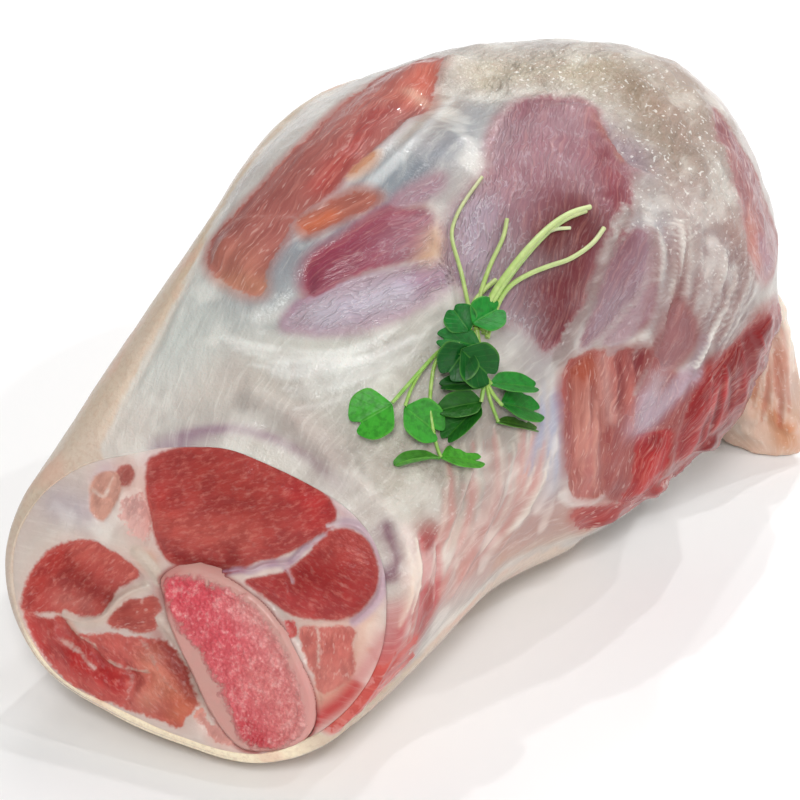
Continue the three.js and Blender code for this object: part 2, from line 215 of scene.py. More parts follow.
@dataclass(frozen=True)
class Eye:
    """A direction to look at the hock from, which turns places in a picture into lines in space.

    The photo eye measures places in pixels of its 800 x 800 picture. An eye without a distance
    looks along parallel lines and measures in mm.
    """

    azimuth: float
    elevation: float
    distance: float = 0.0
    lens: float = 143.0
    sensor: float = 36.0
    picture: float = 800.0
    aim: tuple[float, float, float] = (0.0, 0.0, 0.0)
    parallel_start: float = 500.0

    def axes(self) -> tuple[Array, Array, Array]:
        """Directions towards the eye, to its right and up."""
        turn, lift = math.radians(self.azimuth), math.radians(self.elevation)
        back = np.array([math.sin(turn) * math.cos(lift), -math.cos(turn) * math.cos(lift), math.sin(lift)])
        right = np.array([math.cos(turn), math.sin(turn), 0.0])
        return back, right, np.cross(back, right)

    def place(self) -> Array:
        """Where the eye stands, in mm."""
        return np.array(self.aim) + self.axes()[0] * self.distance

    def seen(self, points: Array) -> Array:
        """Picture places of points in space.

        Args:
            points: Points in mm, one per row.

        Returns:
            Two columns: right and down in pixels, or right and up in mm without a distance.
        """
        back, right, up = self.axes()
        if not self.distance:
            return np.stack([points @ right, points @ up], axis=1)
        offset = points - self.place()
        depth = -(offset @ back)
        focal = self.lens / self.sensor * self.picture
        middle = self.picture / 2
        return np.stack([middle + focal * (offset @ right) / depth,
                         middle - focal * (offset @ up) / depth], axis=1)

    def line(self, place: Sequence[float]) -> tuple[Array, Array]:
        """The line in space that a picture place stands for.

        Args:
            place: A place in the picture.

        Returns:
            A start point in mm and a direction away from the eye.
        """
        back, right, up = self.axes()
        if not self.distance:
            return right * place[0] + up * place[1] + back * self.parallel_start, -back
        focal = self.lens / self.sensor * self.picture
        middle = self.picture / 2
        ray = right * (place[0] - middle) / focal - up * (place[1] - middle) / focal - back
        return self.place(), unit(ray)


class View(Enum):
    """The pictures that outlines are drawn in."""

    PHOTO = Eye(-56.0, 35.0, 760.0, aim=(-2.6, 3.8, 40.9))
    BACK = Eye(170.0, 25.0)
    END = Eye(90.0, 10.0)


# ---------------------------------------------------------------- marks on the tissue


class Layer(Enum):
    """What a wash of colour changes."""

    MUSCLE = "muscle"
    COVER = "cover"
    BOTH = "both"


class Quality(Enum):
    """What a patch changes other than colour."""

    VEIL = "veil"
    FAT = "fat"


@dataclass(frozen=True)
class Muscle:
    """A muscle that shows where no fat or fascia lies on it; sizes in mm, fibres in degrees."""

    name: str
    outline: Path
    tint: Tint
    fibres: float = 50.0
    bulge: float = 1.2
    veil: float = 0.0
    ragged: float = 0.7
    flecks: float = 0.3
    view: View = View.PHOTO
    ground: bool = False


@dataclass(frozen=True)
class Bundle:
    """Many fine strands that run between two border paths; their half-width and height are in mm."""

    name: str
    first: Path
    last: Path
    count: int
    tint: Tint
    radius: float = 0.55
    height: float = 0.25
    strength: float = 0.8
    seed: int = 1
    layer: Layer = Layer.COVER
    view: View = View.PHOTO


@dataclass(frozen=True)
class Strand:
    """A tendon, septum or line of fat over the meat; its full width and height are in mm."""

    name: str
    path: Path
    width: float
    tint: Tint
    height: float = 0.5
    end_width: float | None = None
    view: View = View.PHOTO


@dataclass(frozen=True)
class Wash:
    """A soft change of colour along a path; its half-width is in mm."""

    name: str
    path: Path
    radius: float
    tint: Tint
    strength: float = 1.0
    layer: Layer = Layer.COVER
    view: View = View.PHOTO


@dataclass(frozen=True)
class Fold:
    """A ridge, or with a height below 0 a groove, along a path; in mm."""

    name: str
    path: Path
    radius: float
    height: float
    view: View = View.PHOTO


@dataclass(frozen=True)
class Patch:
    """A soft change of a quality along a path; its half-width is in mm."""

    name: str
    path: Path
    radius: float
    quality: Quality
    amount: float
    view: View = View.PHOTO


Mark = Muscle | Bundle | Strand | Wash | Fold | Patch


class Canvas:
    """The points of a surface, with everything that is painted and modelled on them.

    Lengths are in mm: REACH is how far a mark works, BUNDLE_REACH how far a fine strand does,
    BULGE_REACH how far inside its outline a muscle is at its full height, DIP_REACH the half-width
    of the dip along it, FADE the soft border of a strand, and CALM_GAP the lead of one muscle over
    the next from which its fibres show. HIDDEN_FADE closes muscles drawn in the other views where
    the photo sees the surface, from the first facing to the second.
    """

    REACH = 26.0
    BUNDLE_REACH = 6.0
    BULGE_REACH = 7.0
    DIP_REACH = 0.7
    DIP = 0.3
    FADE = 1.2
    GROUND_DEPTH = 0.3
    CALM_GAP = (0.6, 2.2)
    HIDDEN_FADE = (-0.42, -0.2)
    HIDDEN_DEPTH = 40.0
    LEAST_FACING = 0.35
    CLOUD_SWING = 0.26
    PAINTED = ("muscle", "cover", "window", "nearest", "second", "veil", "fat", "skin", "ragged", "flecks",
               "grain", "flow")

    def __init__(self, points: Array, normals: Array, tracer: Callable[[View, Sequence[float]], Array],
                 muscle: Tint, cover: Tint) -> None:
        """Start a blank canvas.

        Args:
            points: The surface's points in mm.
            normals: Their outward directions.
            tracer: Gives the surface point behind a picture place.
            muscle: Colour of the meat before it is painted.
            cover: Colour of the fat and fascia before it is painted.
        """
        count = len(points)
        self.points = points
        self.normals = normals
        self.tracer = tracer
        self.muscle = np.tile(meat_colour(muscle), (count, 1))
        self.cover = np.tile(linear(cover), (count, 1))
        self.window = np.full(count, -self.REACH)
        self.nearest = np.full(count, -self.REACH)
        self.second = np.full(count, -self.REACH)
        self.veil = np.zeros(count)
        self.fat = np.zeros(count)
        self.skin = np.zeros(count)
        self.ragged = np.full(count, Muscle.ragged)
        self.flecks = np.full(count, Muscle.flecks)
        self.grain = np.zeros((count, 2))
        self.flow = np.zeros((count, 2))
        self.rise = np.zeros(count)
        self._seen = {view: view.value.seen(points) for view in View}

    def facing(self, view: View) -> Array:
        """How far each point faces a view, 1 for straight at it."""
        eye = view.value
        back = eye.axes()[0]
        if not eye.distance:
            return self.normals @ back
        to_eye = eye.place() - self.points
        return np.sum(self.normals * to_eye, axis=1) / np.linalg.norm(to_eye, axis=1)

    def trace(self, view: View, path: Sequence[Place], closed: bool) -> Array:
        """The surface points behind a smooth path drawn in a view."""
        return np.array([self.tracer(view, place) for place in smooth_path(path, closed)])

    def distances(self, line: Array, closed: bool, reach: float) -> tuple[Array, Array]:
        """How far each point is from a line of points.

        Args:
            line: The line's points in mm.
            closed: Whether the line returns to its start.
            reach: Distances are cut off here.

        Returns:
            The distance in mm, and how far along the line its nearest place is, 0 to 1.
        """
        distance = np.full(len(self.points), reach)
        share = np.zeros(len(self.points))
        near = np.all((self.points > line.min(0) - reach) & (self.points < line.max(0) + reach), axis=1)
        index = np.nonzero(near)[0]
        points = self.points[index]
        best = np.full(len(index), reach ** 2)
        where = np.zeros(len(index))
        ends = np.roll(line, -1, axis=0) if closed else line[1:]
        starts = line if closed else line[:-1]
        for number, (start, end) in enumerate(zip(starts, ends)):
            side = end - start
            length = max(side @ side, TINY)
            part = np.clip(((points - start) @ side) / length, 0.0, 1.0)
            gap = points - start - part[:, None] * side
            square = np.einsum("ij,ij->i", gap, gap)
            closer = square < best
            best[closer] = square[closer]
            where[closer] = (number + part[closer]) / len(starts)
        distance[index] = np.sqrt(best)
        share[index] = where
        return distance, share

    def inside(self, view: View, outline: Sequence[Place]) -> Array:
        """Which points lie within an outline drawn in a view, on the side that faces it."""
        border = smooth_path(outline, True)
        seen = self._seen[view]
        within = np.zeros(len(self.points), bool)
        least = 0.0 if view.value.distance else self.LEAST_FACING
        boxed = np.all((seen >= border.min(0)) & (seen <= border.max(0)), axis=1)
        index = np.nonzero(boxed & (self.facing(view) > least))[0]
        x, y = seen[index, 0], seen[index, 1]
        odd = np.zeros(len(index), bool)
        for (x0, y0), (x1, y1) in zip(border, np.roll(border, -1, axis=0)):
            if y0 == y1:
                continue
            crosses = ((y0 > y) != (y1 > y)) & (x < (x1 - x0) * (y - y0) / (y1 - y0) + x0)
            odd ^= crosses
        within[index] = odd
        return within

    def add_muscle(self, mark: Muscle) -> None:
        """Open a window on a muscle and paint its colour, fibres and bulge."""
        line = self.trace(mark.view, mark.outline, True)
        distance, _ = self.distances(line, True, self.REACH)
        depth = np.where(self.inside(mark.view, mark.outline), distance, -distance)
        if mark.view is not View.PHOTO:
            depth -= self.HIDDEN_DEPTH * smooth(self.facing(View.PHOTO), *self.HIDDEN_FADE)
        closer = depth > self.nearest
        self.second = np.where(closer, self.nearest, np.maximum(self.second, depth))
        lead = np.minimum(depth, self.GROUND_DEPTH) if mark.ground else depth
        self.nearest = np.maximum(self.nearest, lead)
        self.window = np.maximum(self.window, depth)
        self.muscle[closer] = meat_colour(mark.tint)
        self.veil[closer] = mark.veil
        self.ragged[closer] = mark.ragged
        self.flecks[closer] = mark.flecks
        turn = math.radians(mark.fibres)
        _, right, up = mark.view.value.axes()
        seen = np.stack([self.points[closer] @ right, self.points[closer] @ up], axis=1)
        self.grain[closer, 0] = seen @ np.array([math.cos(turn), math.sin(turn)])
        self.grain[closer, 1] = seen @ np.array([-math.sin(turn), math.cos(turn)])
        dip = self.DIP * smooth(depth, -self.DIP_REACH, self.DIP_REACH)
        self.rise += mark.bulge * smooth(depth, 0.0, self.BULGE_REACH) - dip

    def add_strand(self, mark: Strand) -> None:
        """Lay a strand over the meat: it closes the window, and has its own colour and height."""
        line = self.trace(mark.view, mark.path, False)
        distance, share = self.distances(line, False, self.REACH)
        end_width = mark.width if mark.end_width is None else mark.end_width
        half = (mark.width + (end_width - mark.width) * share) / 2
        covered = np.minimum(self.window, distance - half)
        self.window = np.where(distance < self.REACH, covered, self.window)
        amount = 1.0 - smooth(distance - half, 0.0, self.FADE)
        self.blend(self.cover, linear(mark.tint), amount)
        self.rise += mark.height * (1.0 - smooth(distance, 0.0, mark.width * 0.7))

    def add_bundle(self, mark: Bundle) -> None:
        """Scatter strands between two border paths, each over a random part of their length."""
        random = np.random.default_rng(mark.seed)
        first, last = np.array(mark.first, float), np.array(mark.last, float)
        for _ in range(mark.count):
            path = first + (last - first) * random.random() + random.normal(0.0, 1.0, first.shape)
            places = smooth_path(path, False, 6)
            length = int(len(places) * random.uniform(0.3, 0.9))
            start = random.integers(0, len(places) - length + 1)
            line = np.array([self.tracer(mark.view, place) for place in places[start:start + length]])
            distance, share = self.distances(line, False, self.BUNDLE_REACH)
            width = mark.radius * random.uniform(0.6, 1.5) * (0.4 + 0.6 * np.sin(math.pi * share))
            amount = bell(distance, width) * (distance < self.BUNDLE_REACH) * random.uniform(0.5, 1.0)
            self.blend_layer(mark.layer, mark.tint, amount * mark.strength)
            self.rise += mark.height * amount

    def blend_layer(self, layer: Layer, tint: Tint, amount: Array) -> None:
        """Mix a colour into the layers that are named."""
        if layer is not Layer.COVER:
            self.blend(self.muscle, meat_colour(tint), amount)
        if layer is not Layer.MUSCLE:
            self.blend(self.cover, linear(tint), amount)

    def add_wash(self, mark: Wash) -> None:
        """Change a colour softly along a path."""
        line = self.trace(mark.view, mark.path, False)
        distance, _ = self.distances(line, False, self.REACH)
        amount = mark.strength * bell(distance, mark.radius) * (distance < self.REACH)
        self.blend_layer(mark.layer, mark.tint, amount)

    def add_fold(self, mark: Fold) -> None:
        """Raise or sink the surface along a path."""
        line = self.trace(mark.view, mark.path, False)
        distance, _ = self.distances(line, False, self.REACH)
        self.rise += mark.height * bell(distance, mark.radius)

    def add_patch(self, mark: Patch) -> None:
        """Change a quality softly along a path."""
        line = self.trace(mark.view, mark.path, False)
        distance, _ = self.distances(line, False, self.REACH)
        values = getattr(self, mark.quality.value)
        values += (mark.amount - values) * bell(distance, mark.radius) * (distance < self.REACH)

    def add_all(self, marks: Sequence[Mark]) -> None:
        """Apply marks in order, each by its kind."""
        makers = {Muscle: self.add_muscle, Strand: self.add_strand, Bundle: self.add_bundle,
                  Wash: self.add_wash, Fold: self.add_fold, Patch: self.add_patch}
        for mark in marks:
            makers[type(mark)](mark)

    @staticmethod
    def blend(colours: Array, colour: Array, amount: Array) -> None:
        """Mix a colour into an array of colours, in place."""
        colours += (colour - colours) * np.clip(amount, 0.0, 1.0)[:, None]

    def store_from(self, mesh: bpy.types.Mesh, source: Array) -> None:
        """Write the painting to a mesh whose vertices take theirs from the points numbered in source."""
        full = Canvas(self.points[source], self.normals[source], self.tracer, (0, 0, 0), (0, 0, 0))
        for name in self.PAINTED:
            setattr(full, name, getattr(self, name)[source])
        full.store(mesh)

    def store(self, mesh: bpy.types.Mesh) -> None:
        """Write the painting to a mesh's attributes, in the points' order."""
        tissue = np.stack([self.window, self.veil, self.fat], axis=1)
        surface = np.stack([self.skin, self.ragged, self.flecks], axis=1)
        calm = smooth(self.nearest - self.second, *self.CALM_GAP)
        grain = np.hstack([self.grain, calm[:, None]])
        flow = np.hstack([self.flow, np.zeros((len(self.flow), 1))])
        clouds = [0.5 + self.CLOUD_SWING * texture.at(self.points)
                  for texture in (Texture.CLOUDS, Texture.PATCHES, Texture.BLOTCHES)]
        fields = (("tissue", tissue), ("surface", surface), ("grain", grain), ("flow", flow),
                  ("clouds", np.stack(clouds, axis=1)))
        for name, values in fields:
            attribute = mesh.attributes.new(name, "FLOAT_VECTOR", "POINT")
            attribute.data.foreach_set("vector", values.astype(np.float32).ravel())
        for name, colours in (("muscle", self.muscle), ("cover", self.cover)):
            attribute = mesh.attributes.new(name, "FLOAT_COLOR", "POINT")
            full = np.hstack([colours, np.ones((len(colours), 1))])
            attribute.data.foreach_set("color", full.astype(np.float32).ravel())


# ---------------------------------------------------------------- meshes


def ring_faces(rings: int, sides: int) -> list[tuple[int, ...]]:
    """Faces of a closed body: a first middle point, rings of points, and a last middle point."""
    faces: list[tuple[int, ...]] = []
    last = 1 + rings * sides
    for side in range(sides):
        beside = (side + 1) % sides
        faces.append((0, 1 + beside, 1 + side))
        for ring in range(rings - 1):
            here, there = 1 + ring * sides, 1 + (ring + 1) * sides
            faces.append((here + side, here + beside, there + beside, there + side))
        faces.append((last - sides + side, last - sides + beside, last))
    return faces


def make_piece(name: str, points: Array, faces: Sequence[Sequence[int]],
               material: bpy.types.Material) -> bpy.types.Object:
    """Make an object at the origin from points in mm.

    Args:
        name: The piece's name.
        points: Points in mm, one per row.
        faces: Point numbers of each face.
        material: The piece's material.

    Returns:
        The new object, smooth shaded.
    """
    mesh = bpy.data.meshes.new(name)
    mesh.from_pydata((np.asarray(points) * MM).tolist(), [], [list(face) for face in faces])
    mesh.materials.append(material)
    mesh.shade_smooth()
    piece = bpy.data.objects.new(name, mesh)
    bpy.context.scene.collection.objects.link(piece)
    return piece


def hand_in(piece: bpy.types.Object, slot: str, *nodes: str) -> None:
    """Tie a piece to the frame.

    Args:
        piece: The finished piece.
        slot: Not used.
        nodes: CAD nodes that it stands for.
    """
    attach(piece, "root")
    if nodes:
        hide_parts(*nodes)


def sewn(upper: Array, lower: Array, u: Array, v: Array) -> tuple[Array, list[tuple[int, ...]], Array]:
    """Join an upper and a lower sheet of points along their borders.

    Args:
        upper: The upper sheet's points.
        lower: The lower sheet's points.
        u: Each point's place across.
        v: Each point's place along.

    Returns:
        Points, faces, and the places across and along of each point.
    """
    rows, columns = u.shape
    count = rows * columns
    points = np.vstack([upper.reshape(-1, 3), lower.reshape(-1, 3)])
    marks = np.stack([u.ravel(), v.ravel(), np.zeros(count)], 1)
    faces = []
    for row in range(rows - 1):
        for column in range(columns - 1):
            a = row * columns + column
            quad = (a, a + 1, a + columns + 1, a + columns)
            faces.append(quad)
            faces.append(tuple(count + number for number in reversed(quad)))
    border = [*range(columns), *(row * columns + columns - 1 for row in range(1, rows)),
              *((rows - 1) * columns + column for column in range(columns - 2, -1, -1)),
              *(row * columns for row in range(rows - 2, 0, -1))]
    for here, there in zip(border, border[1:] + border[:1]):
        faces.append((there, here, count + here, count + there))
    return points, faces, np.vstack([marks, marks])


def store_tints(mesh: bpy.types.Mesh, tints: Sequence[Sequence[float]]) -> None:
    """Write one colour for each point of a mesh."""
    attribute = mesh.attributes.new("tint", "FLOAT_COLOR", "POINT")
    attribute.data.foreach_set("color", np.array(tints, np.float32).ravel())


def grid_normals(grid: Array) -> Array:
    """Outward normals of a grid of points in rings, which closes round each ring."""
    along = np.gradient(grid, axis=0)
    around = np.roll(grid, -1, axis=1) - np.roll(grid, 1, axis=1)
    normals = np.cross(around, along)
    return normals / np.maximum(np.linalg.norm(normals, axis=2, keepdims=True), TINY)


# ---------------------------------------------------------------- the hock's form


@dataclass(frozen=True)
class Swell:
    """A rise of the outside round a point, or along the line from it to an end; in mm."""

    name: str
    start: tuple[float, float, float]
    height: float
    radius: float
    end: tuple[float, float, float] | None = None

    def push(self, points: Array) -> Array:
        """How far it pushes points out."""
        gap = points - np.array(self.start)
        if self.end is not None:
            side = np.array(self.end) - np.array(self.start)
            part = np.clip((gap @ side) / (side @ side), 0.0, 1.0)
            gap = gap - part[:, None] * side
        return self.height * bell(np.linalg.norm(gap, axis=1), self.radius)


@dataclass(frozen=True)
class HockForm:
    """The hock's outside: sizes in mm, at even stations along its spine, and angles in degrees.

    Shares run from 0 at the sawn end to 1 at the far tip. Angles run from +Y over the top.
    """

    spine_start: float = -88.0
    spine_length: float = 194.0
    near_side: tuple[float, ...] = (-42, -44, -49, -63, -65, -64)
    far_side: tuple[float, ...] = (42, 47, 54, 63, 58, 60)
    underside: tuple[float, ...] = (9, 0, -1.5, -1.5, 0, 6)
    top_side: tuple[float, ...] = (69, 96, 111, 108, 113, 112)
    squareness: float = 2.25
    dome_start: float = 0.56
    dome_power: float = 2.2
    cut_tilt: float = 25.0
    cut_turn: float = 15.0
    cut_fade_length: float = 0.5
    cut_fade_power: float = 1.2
    cut_radii: tuple[float, ...] = (47, 42.5, 36.5, 36, 38, 45, 46, 43, 39.5, 34.5, 36, 43.5)
    outline_fade_length: float = 0.35
    swells: tuple[Swell, ...] = (
        Swell("upper_end", (85, -18, 94), 4, 16),
        Swell("far_shoulder", (23, 47, 92), 2.8, 20),
        Swell("top_hollow", (46, 21, 105), -1.2, 12),
        Swell("near_foot", (5, -39, 13), 2.2, 14),
        Swell("near_foot_hollow", (34, -55, 23), -0.8, 10),
        Swell("sawn_foot_hollow", (-66, -37, 14), -1.2, 14),
        Swell("near_end", (76, -51, 67), 1.6, 14),
        Swell("long_salmon_belly", (48, 20, 105), 2.2, 8, (-26, 30, 92)),
        Swell("purple_belly", (2, -2, 110), 2.2, 8, (-22, 8, 100)),
        Swell("mauve_belly", (58, -8, 104), 2.2, 14, (22, -26, 104)),
        Swell("tendon_line", (60, -38, 86), 2, 5, (16, -48, 84)),
        Swell("low_belly", (68, -44, 66), 2.2, 7, (22, -56, 52)),
        Swell("near_end_foot", (84, -46, 24), 4, 10, (102, -10, 26)),
        Swell("far_end_foot", (102, -10, 26), 2.5, 10, (92, 36, 26)),
    )

    def along(self, values: Sequence[float], share: Array) -> Array:
        """A smooth curve through evenly spaced values.

        Args:
            values: One value for each station.
            share: Where along the spine to read it.

        Returns:
            The curve's values.
        """
        table = np.asarray(values, float)
        slopes = np.gradient(table)
        index = np.clip(np.floor(share * (len(table) - 1)).astype(int), 0, len(table) - 2)
        part = share * (len(table) - 1) - index
        square, cube = part ** 2, part ** 3
        return ((2 * cube - 3 * square + 1) * table[index] + (cube - 2 * square + part) * slopes[index]
                + (3 * square - 2 * cube) * table[index + 1] + (cube - square) * slopes[index + 1])

    def cut_radius(self, angle: Array) -> Array:
        """The sawn end's radius from its middle, in mm, at angles in radians."""
        table = np.asarray(self.cut_radii, float)
        count = len(table)
        place = (angle / (2 * math.pi) % 1.0) * count
        index = np.floor(place).astype(int) % count
        part = place - np.floor(place)
        a, b, c, d = (table[(index + step) % count] for step in (-1, 0, 1, 2))
        return 0.5 * (2 * b + (c - a) * part + (2 * a - 5 * b + 4 * c - d) * part ** 2
                      + (3 * b - a - 3 * c + d) * part ** 3)

    @staticmethod
    def rounded_radius(angle: Array, wide: Array, high: Array, power: float) -> Array:
        """The radius of a rounded box outline with half-sizes wide and high."""
        total = np.abs(np.cos(angle) / wide) ** power + np.abs(np.sin(angle) / high) ** power
        return total ** (-1.0 / power)

    def section(self, share: Array) -> tuple[Array, Array, Array, Array, Array]:
        """Middle, half-width, half-height and the directions across and up of sections."""
        share = np.asarray(share, float)
        near, far = self.along(self.near_side, share), self.along(self.far_side, share)
        low, high = self.along(self.underside, share), self.along(self.top_side, share)
        fade = np.clip(1.0 - share / self.cut_fade_length, 0.0, 1.0) ** self.cut_fade_power
        tilt, turn = np.radians(self.cut_tilt) * fade, np.radians(self.cut_turn) * fade
        station = self.spine_start + self.spine_length * share
        middle = np.stack([station, (near + far) / 2, (low + high) / 2], -1)
        across = np.stack([-np.sin(turn), np.cos(turn), np.zeros_like(turn)], -1)
        up = np.stack([np.sin(tilt) * np.cos(turn), np.sin(tilt) * np.sin(turn), np.cos(tilt)], -1)
        return middle, (far - near) / 2, (high - low) / 2, across, up

    def outside(self, share: Array, angle: Array) -> Array:
        """Points of the outside before its swells.

        Args:
            share: Places along the spine.
            angle: Angles in radians, of the same shape.

        Returns:
            Points in mm, with a last axis of three.
        """
        middle, wide, high, across, up = self.section(share)
        past = np.clip((share - self.dome_start) / (1 - self.dome_start), 0.0, 1.0)
        dome = np.sqrt(np.maximum(1.0 - past ** self.dome_power, 1e-6))
        _, cut_wide, cut_high, _, _ = self.section(np.zeros(1))
        plain = self.rounded_radius(angle, cut_wide[0], cut_high[0], self.squareness)
        blend = smooth(1.0 - share / self.outline_fade_length, 0.0, 1.0)
        radius = self.rounded_radius(angle, wide * dome, high * dome, self.squareness)
        radius = radius * (1.0 + blend * (self.cut_radius(angle) / plain - 1.0))
        return (middle + (radius * np.cos(angle))[..., None] * across
                + (radius * np.sin(angle))[..., None] * up)

    def relief(self, points: Array) -> Array:
        """How far the swells push the outside out at points in mm."""
        push = np.zeros(len(points))
        for swell in self.swells:
            push += swell.push(points)
        return push


class SurfaceTracer:
    """Finds the surface point behind a picture place, on a plain copy of the hock."""

    STEP = 3.0

    def __init__(self, points: Array, faces: Sequence[Sequence[int]]) -> None:
        """Build the search tree from points in mm and faces."""
        self.tree = BVHTree.FromPolygons(points.tolist(), [list(face) for face in faces])
        self.middle = (points.min(axis=0) + points.max(axis=0)) / 2

    def __call__(self, view: View, place: Sequence[float]) -> Array:
        """Find the point; a place just off the hock is first moved in to its edge.

        Args:
            view: The view that the place is in.
            place: The place.

        Returns:
            The surface point in mm.
        """
        middle = view.value.seen(self.middle[None])[0]
        place = np.asarray(place, float)
        step = self.STEP if view.value.distance else self.STEP / 4
        tries = int(np.linalg.norm(middle - place) / step)
        for _ in range(tries + 1):
            start, direction = view.value.line(place)
            hit = self.tree.ray_cast(Vector(start), Vector(direction))[0]
            if hit is not None:
                return np.array(hit)
            inward = middle - place
            place = place + inward / max(np.linalg.norm(inward), 1e-6) * step
        return self.middle


# ---------------------------------------------------------------- finishes


class Graph:
    """Builds a material's nodes with short calls."""

    def __init__(self, name: str) -> None:
        """Start a material with a Principled shader."""
        self.material = bpy.data.materials.new(name)
        self.material.use_nodes = True
        self.tree = self.material.node_tree
        self.shader = next(node for node in self.tree.nodes if node.type == "BSDF_PRINCIPLED")

    def node(self, kind: str, **settings: object) -> bpy.types.Node:
        """A new node with its settings."""
        made = self.tree.nodes.new(kind)
        for key, value in settings.items():
            setattr(made, key, value)
        return made

    def link(self, source: object, target: bpy.types.NodeSocket) -> None:
        """Join an output to an input, or set the input to a plain value."""
        if isinstance(source, bpy.types.NodeSocket):
            self.tree.links.new(source, target)
        else:
            target.default_value = source

    def attribute(self, name: str) -> bpy.types.Node:
        """The mesh attribute of that name."""
        return self.node("ShaderNodeAttribute", attribute_type="GEOMETRY", attribute_name=name)

    def parts(self, name: str) -> list[bpy.types.NodeSocket]:
        """The three numbers of a vector attribute."""
        split = self.node("ShaderNodeSeparateXYZ")
        self.link(self.attribute(name).outputs["Vector"], split.inputs[0])
        return list(split.outputs)

    def math(self, operation: str, first: object, second: object = 0.0, clamp: bool = False
             ) -> bpy.types.NodeSocket:
        """One sum on two numbers."""
        made = self.node("ShaderNodeMath", operation=operation, use_clamp=clamp)
        self.link(first, made.inputs[0])
        self.link(second, made.inputs[1])
        return made.outputs[0]

    def swing(self, value: object, amount: float) -> bpy.types.NodeSocket:
        """A 0 to 1 value made to swing evenly about 0."""
        made = self.node("ShaderNodeMath", operation="MULTIPLY_ADD")
        self.link(value, made.inputs[0])
        made.inputs[1].default_value = amount
        made.inputs[2].default_value = -amount / 2
        return made.outputs[0]

    def stretch(self, vector: object, scale: tuple[float, float, float]) -> bpy.types.NodeSocket:
        """A vector with each part scaled."""
        made = self.node("ShaderNodeVectorMath", operation="MULTIPLY")
        self.link(vector, made.inputs[0])
        made.inputs[1].default_value = scale
        return made.outputs[0]

    def noise(self, vector: object, scale: float, detail: float = 3.0, roughness: float = 0.55
              ) -> bpy.types.NodeSocket:
        """Soft noise, 0 to 1."""
        made = self.node("ShaderNodeTexNoise")
        self.link(vector, made.inputs["Vector"])
        for key, value in (("Scale", scale), ("Detail", detail), ("Roughness", roughness)):
            made.inputs[key].default_value = value
        return made.outputs["Fac"]

    def cells(self, vector: object, scale: float) -> bpy.types.NodeSocket:
        """Distance to the nearest of many scattered points."""
        made = self.node("ShaderNodeTexVoronoi")
        self.link(vector, made.inputs["Vector"])
        made.inputs["Scale"].default_value = scale
        return made.outputs["Distance"]

    def ramp(self, value: object, low: object, high: object, start: object = 0.0, end: object = 1.0
             ) -> bpy.types.NodeSocket:
        """Map a value smoothly from low..high to start..end."""
        made = self.node("ShaderNodeMapRange", interpolation_type="SMOOTHSTEP")
        for number, source in enumerate((value, low, high, start, end)):
            self.link(source, made.inputs[number])
        return made.outputs[0]

    def mix(self, amount: object, first: object, second: object) -> bpy.types.NodeSocket:
        """Mix two colours."""
        made = self.node("ShaderNodeMix", data_type="RGBA")
        for name, source in (("Factor_Float", amount), ("A_Color", first), ("B_Color", second)):
            target = next(socket for socket in made.inputs if socket.identifier == name)
            if isinstance(source, tuple):
                source = (*linear(source), 1.0)
            self.link(source, target)
        return next(socket for socket in made.outputs if socket.identifier == "Result_Color")

    def bump(self, height: object, strength: float, distance: float) -> bpy.types.NodeSocket:
        """Tilt the normal by a height; the distance is in metres."""
        made = self.node("ShaderNodeBump")
        made.inputs["Strength"].default_value = strength
        made.inputs["Distance"].default_value = distance
        self.link(height, made.inputs["Height"])
        return made.outputs[0]

    def set(self, **values: object) -> None:
        """Set or link the shader's inputs; an underscore stands for a space."""
        for name, value in values.items():
            self.link(value, self.shader.inputs[name.replace("_", " ")])

    def where(self) -> bpy.types.NodeSocket:
        """Object coordinates, in metres."""
        return self.node("ShaderNodeTexCoord").outputs["Object"]


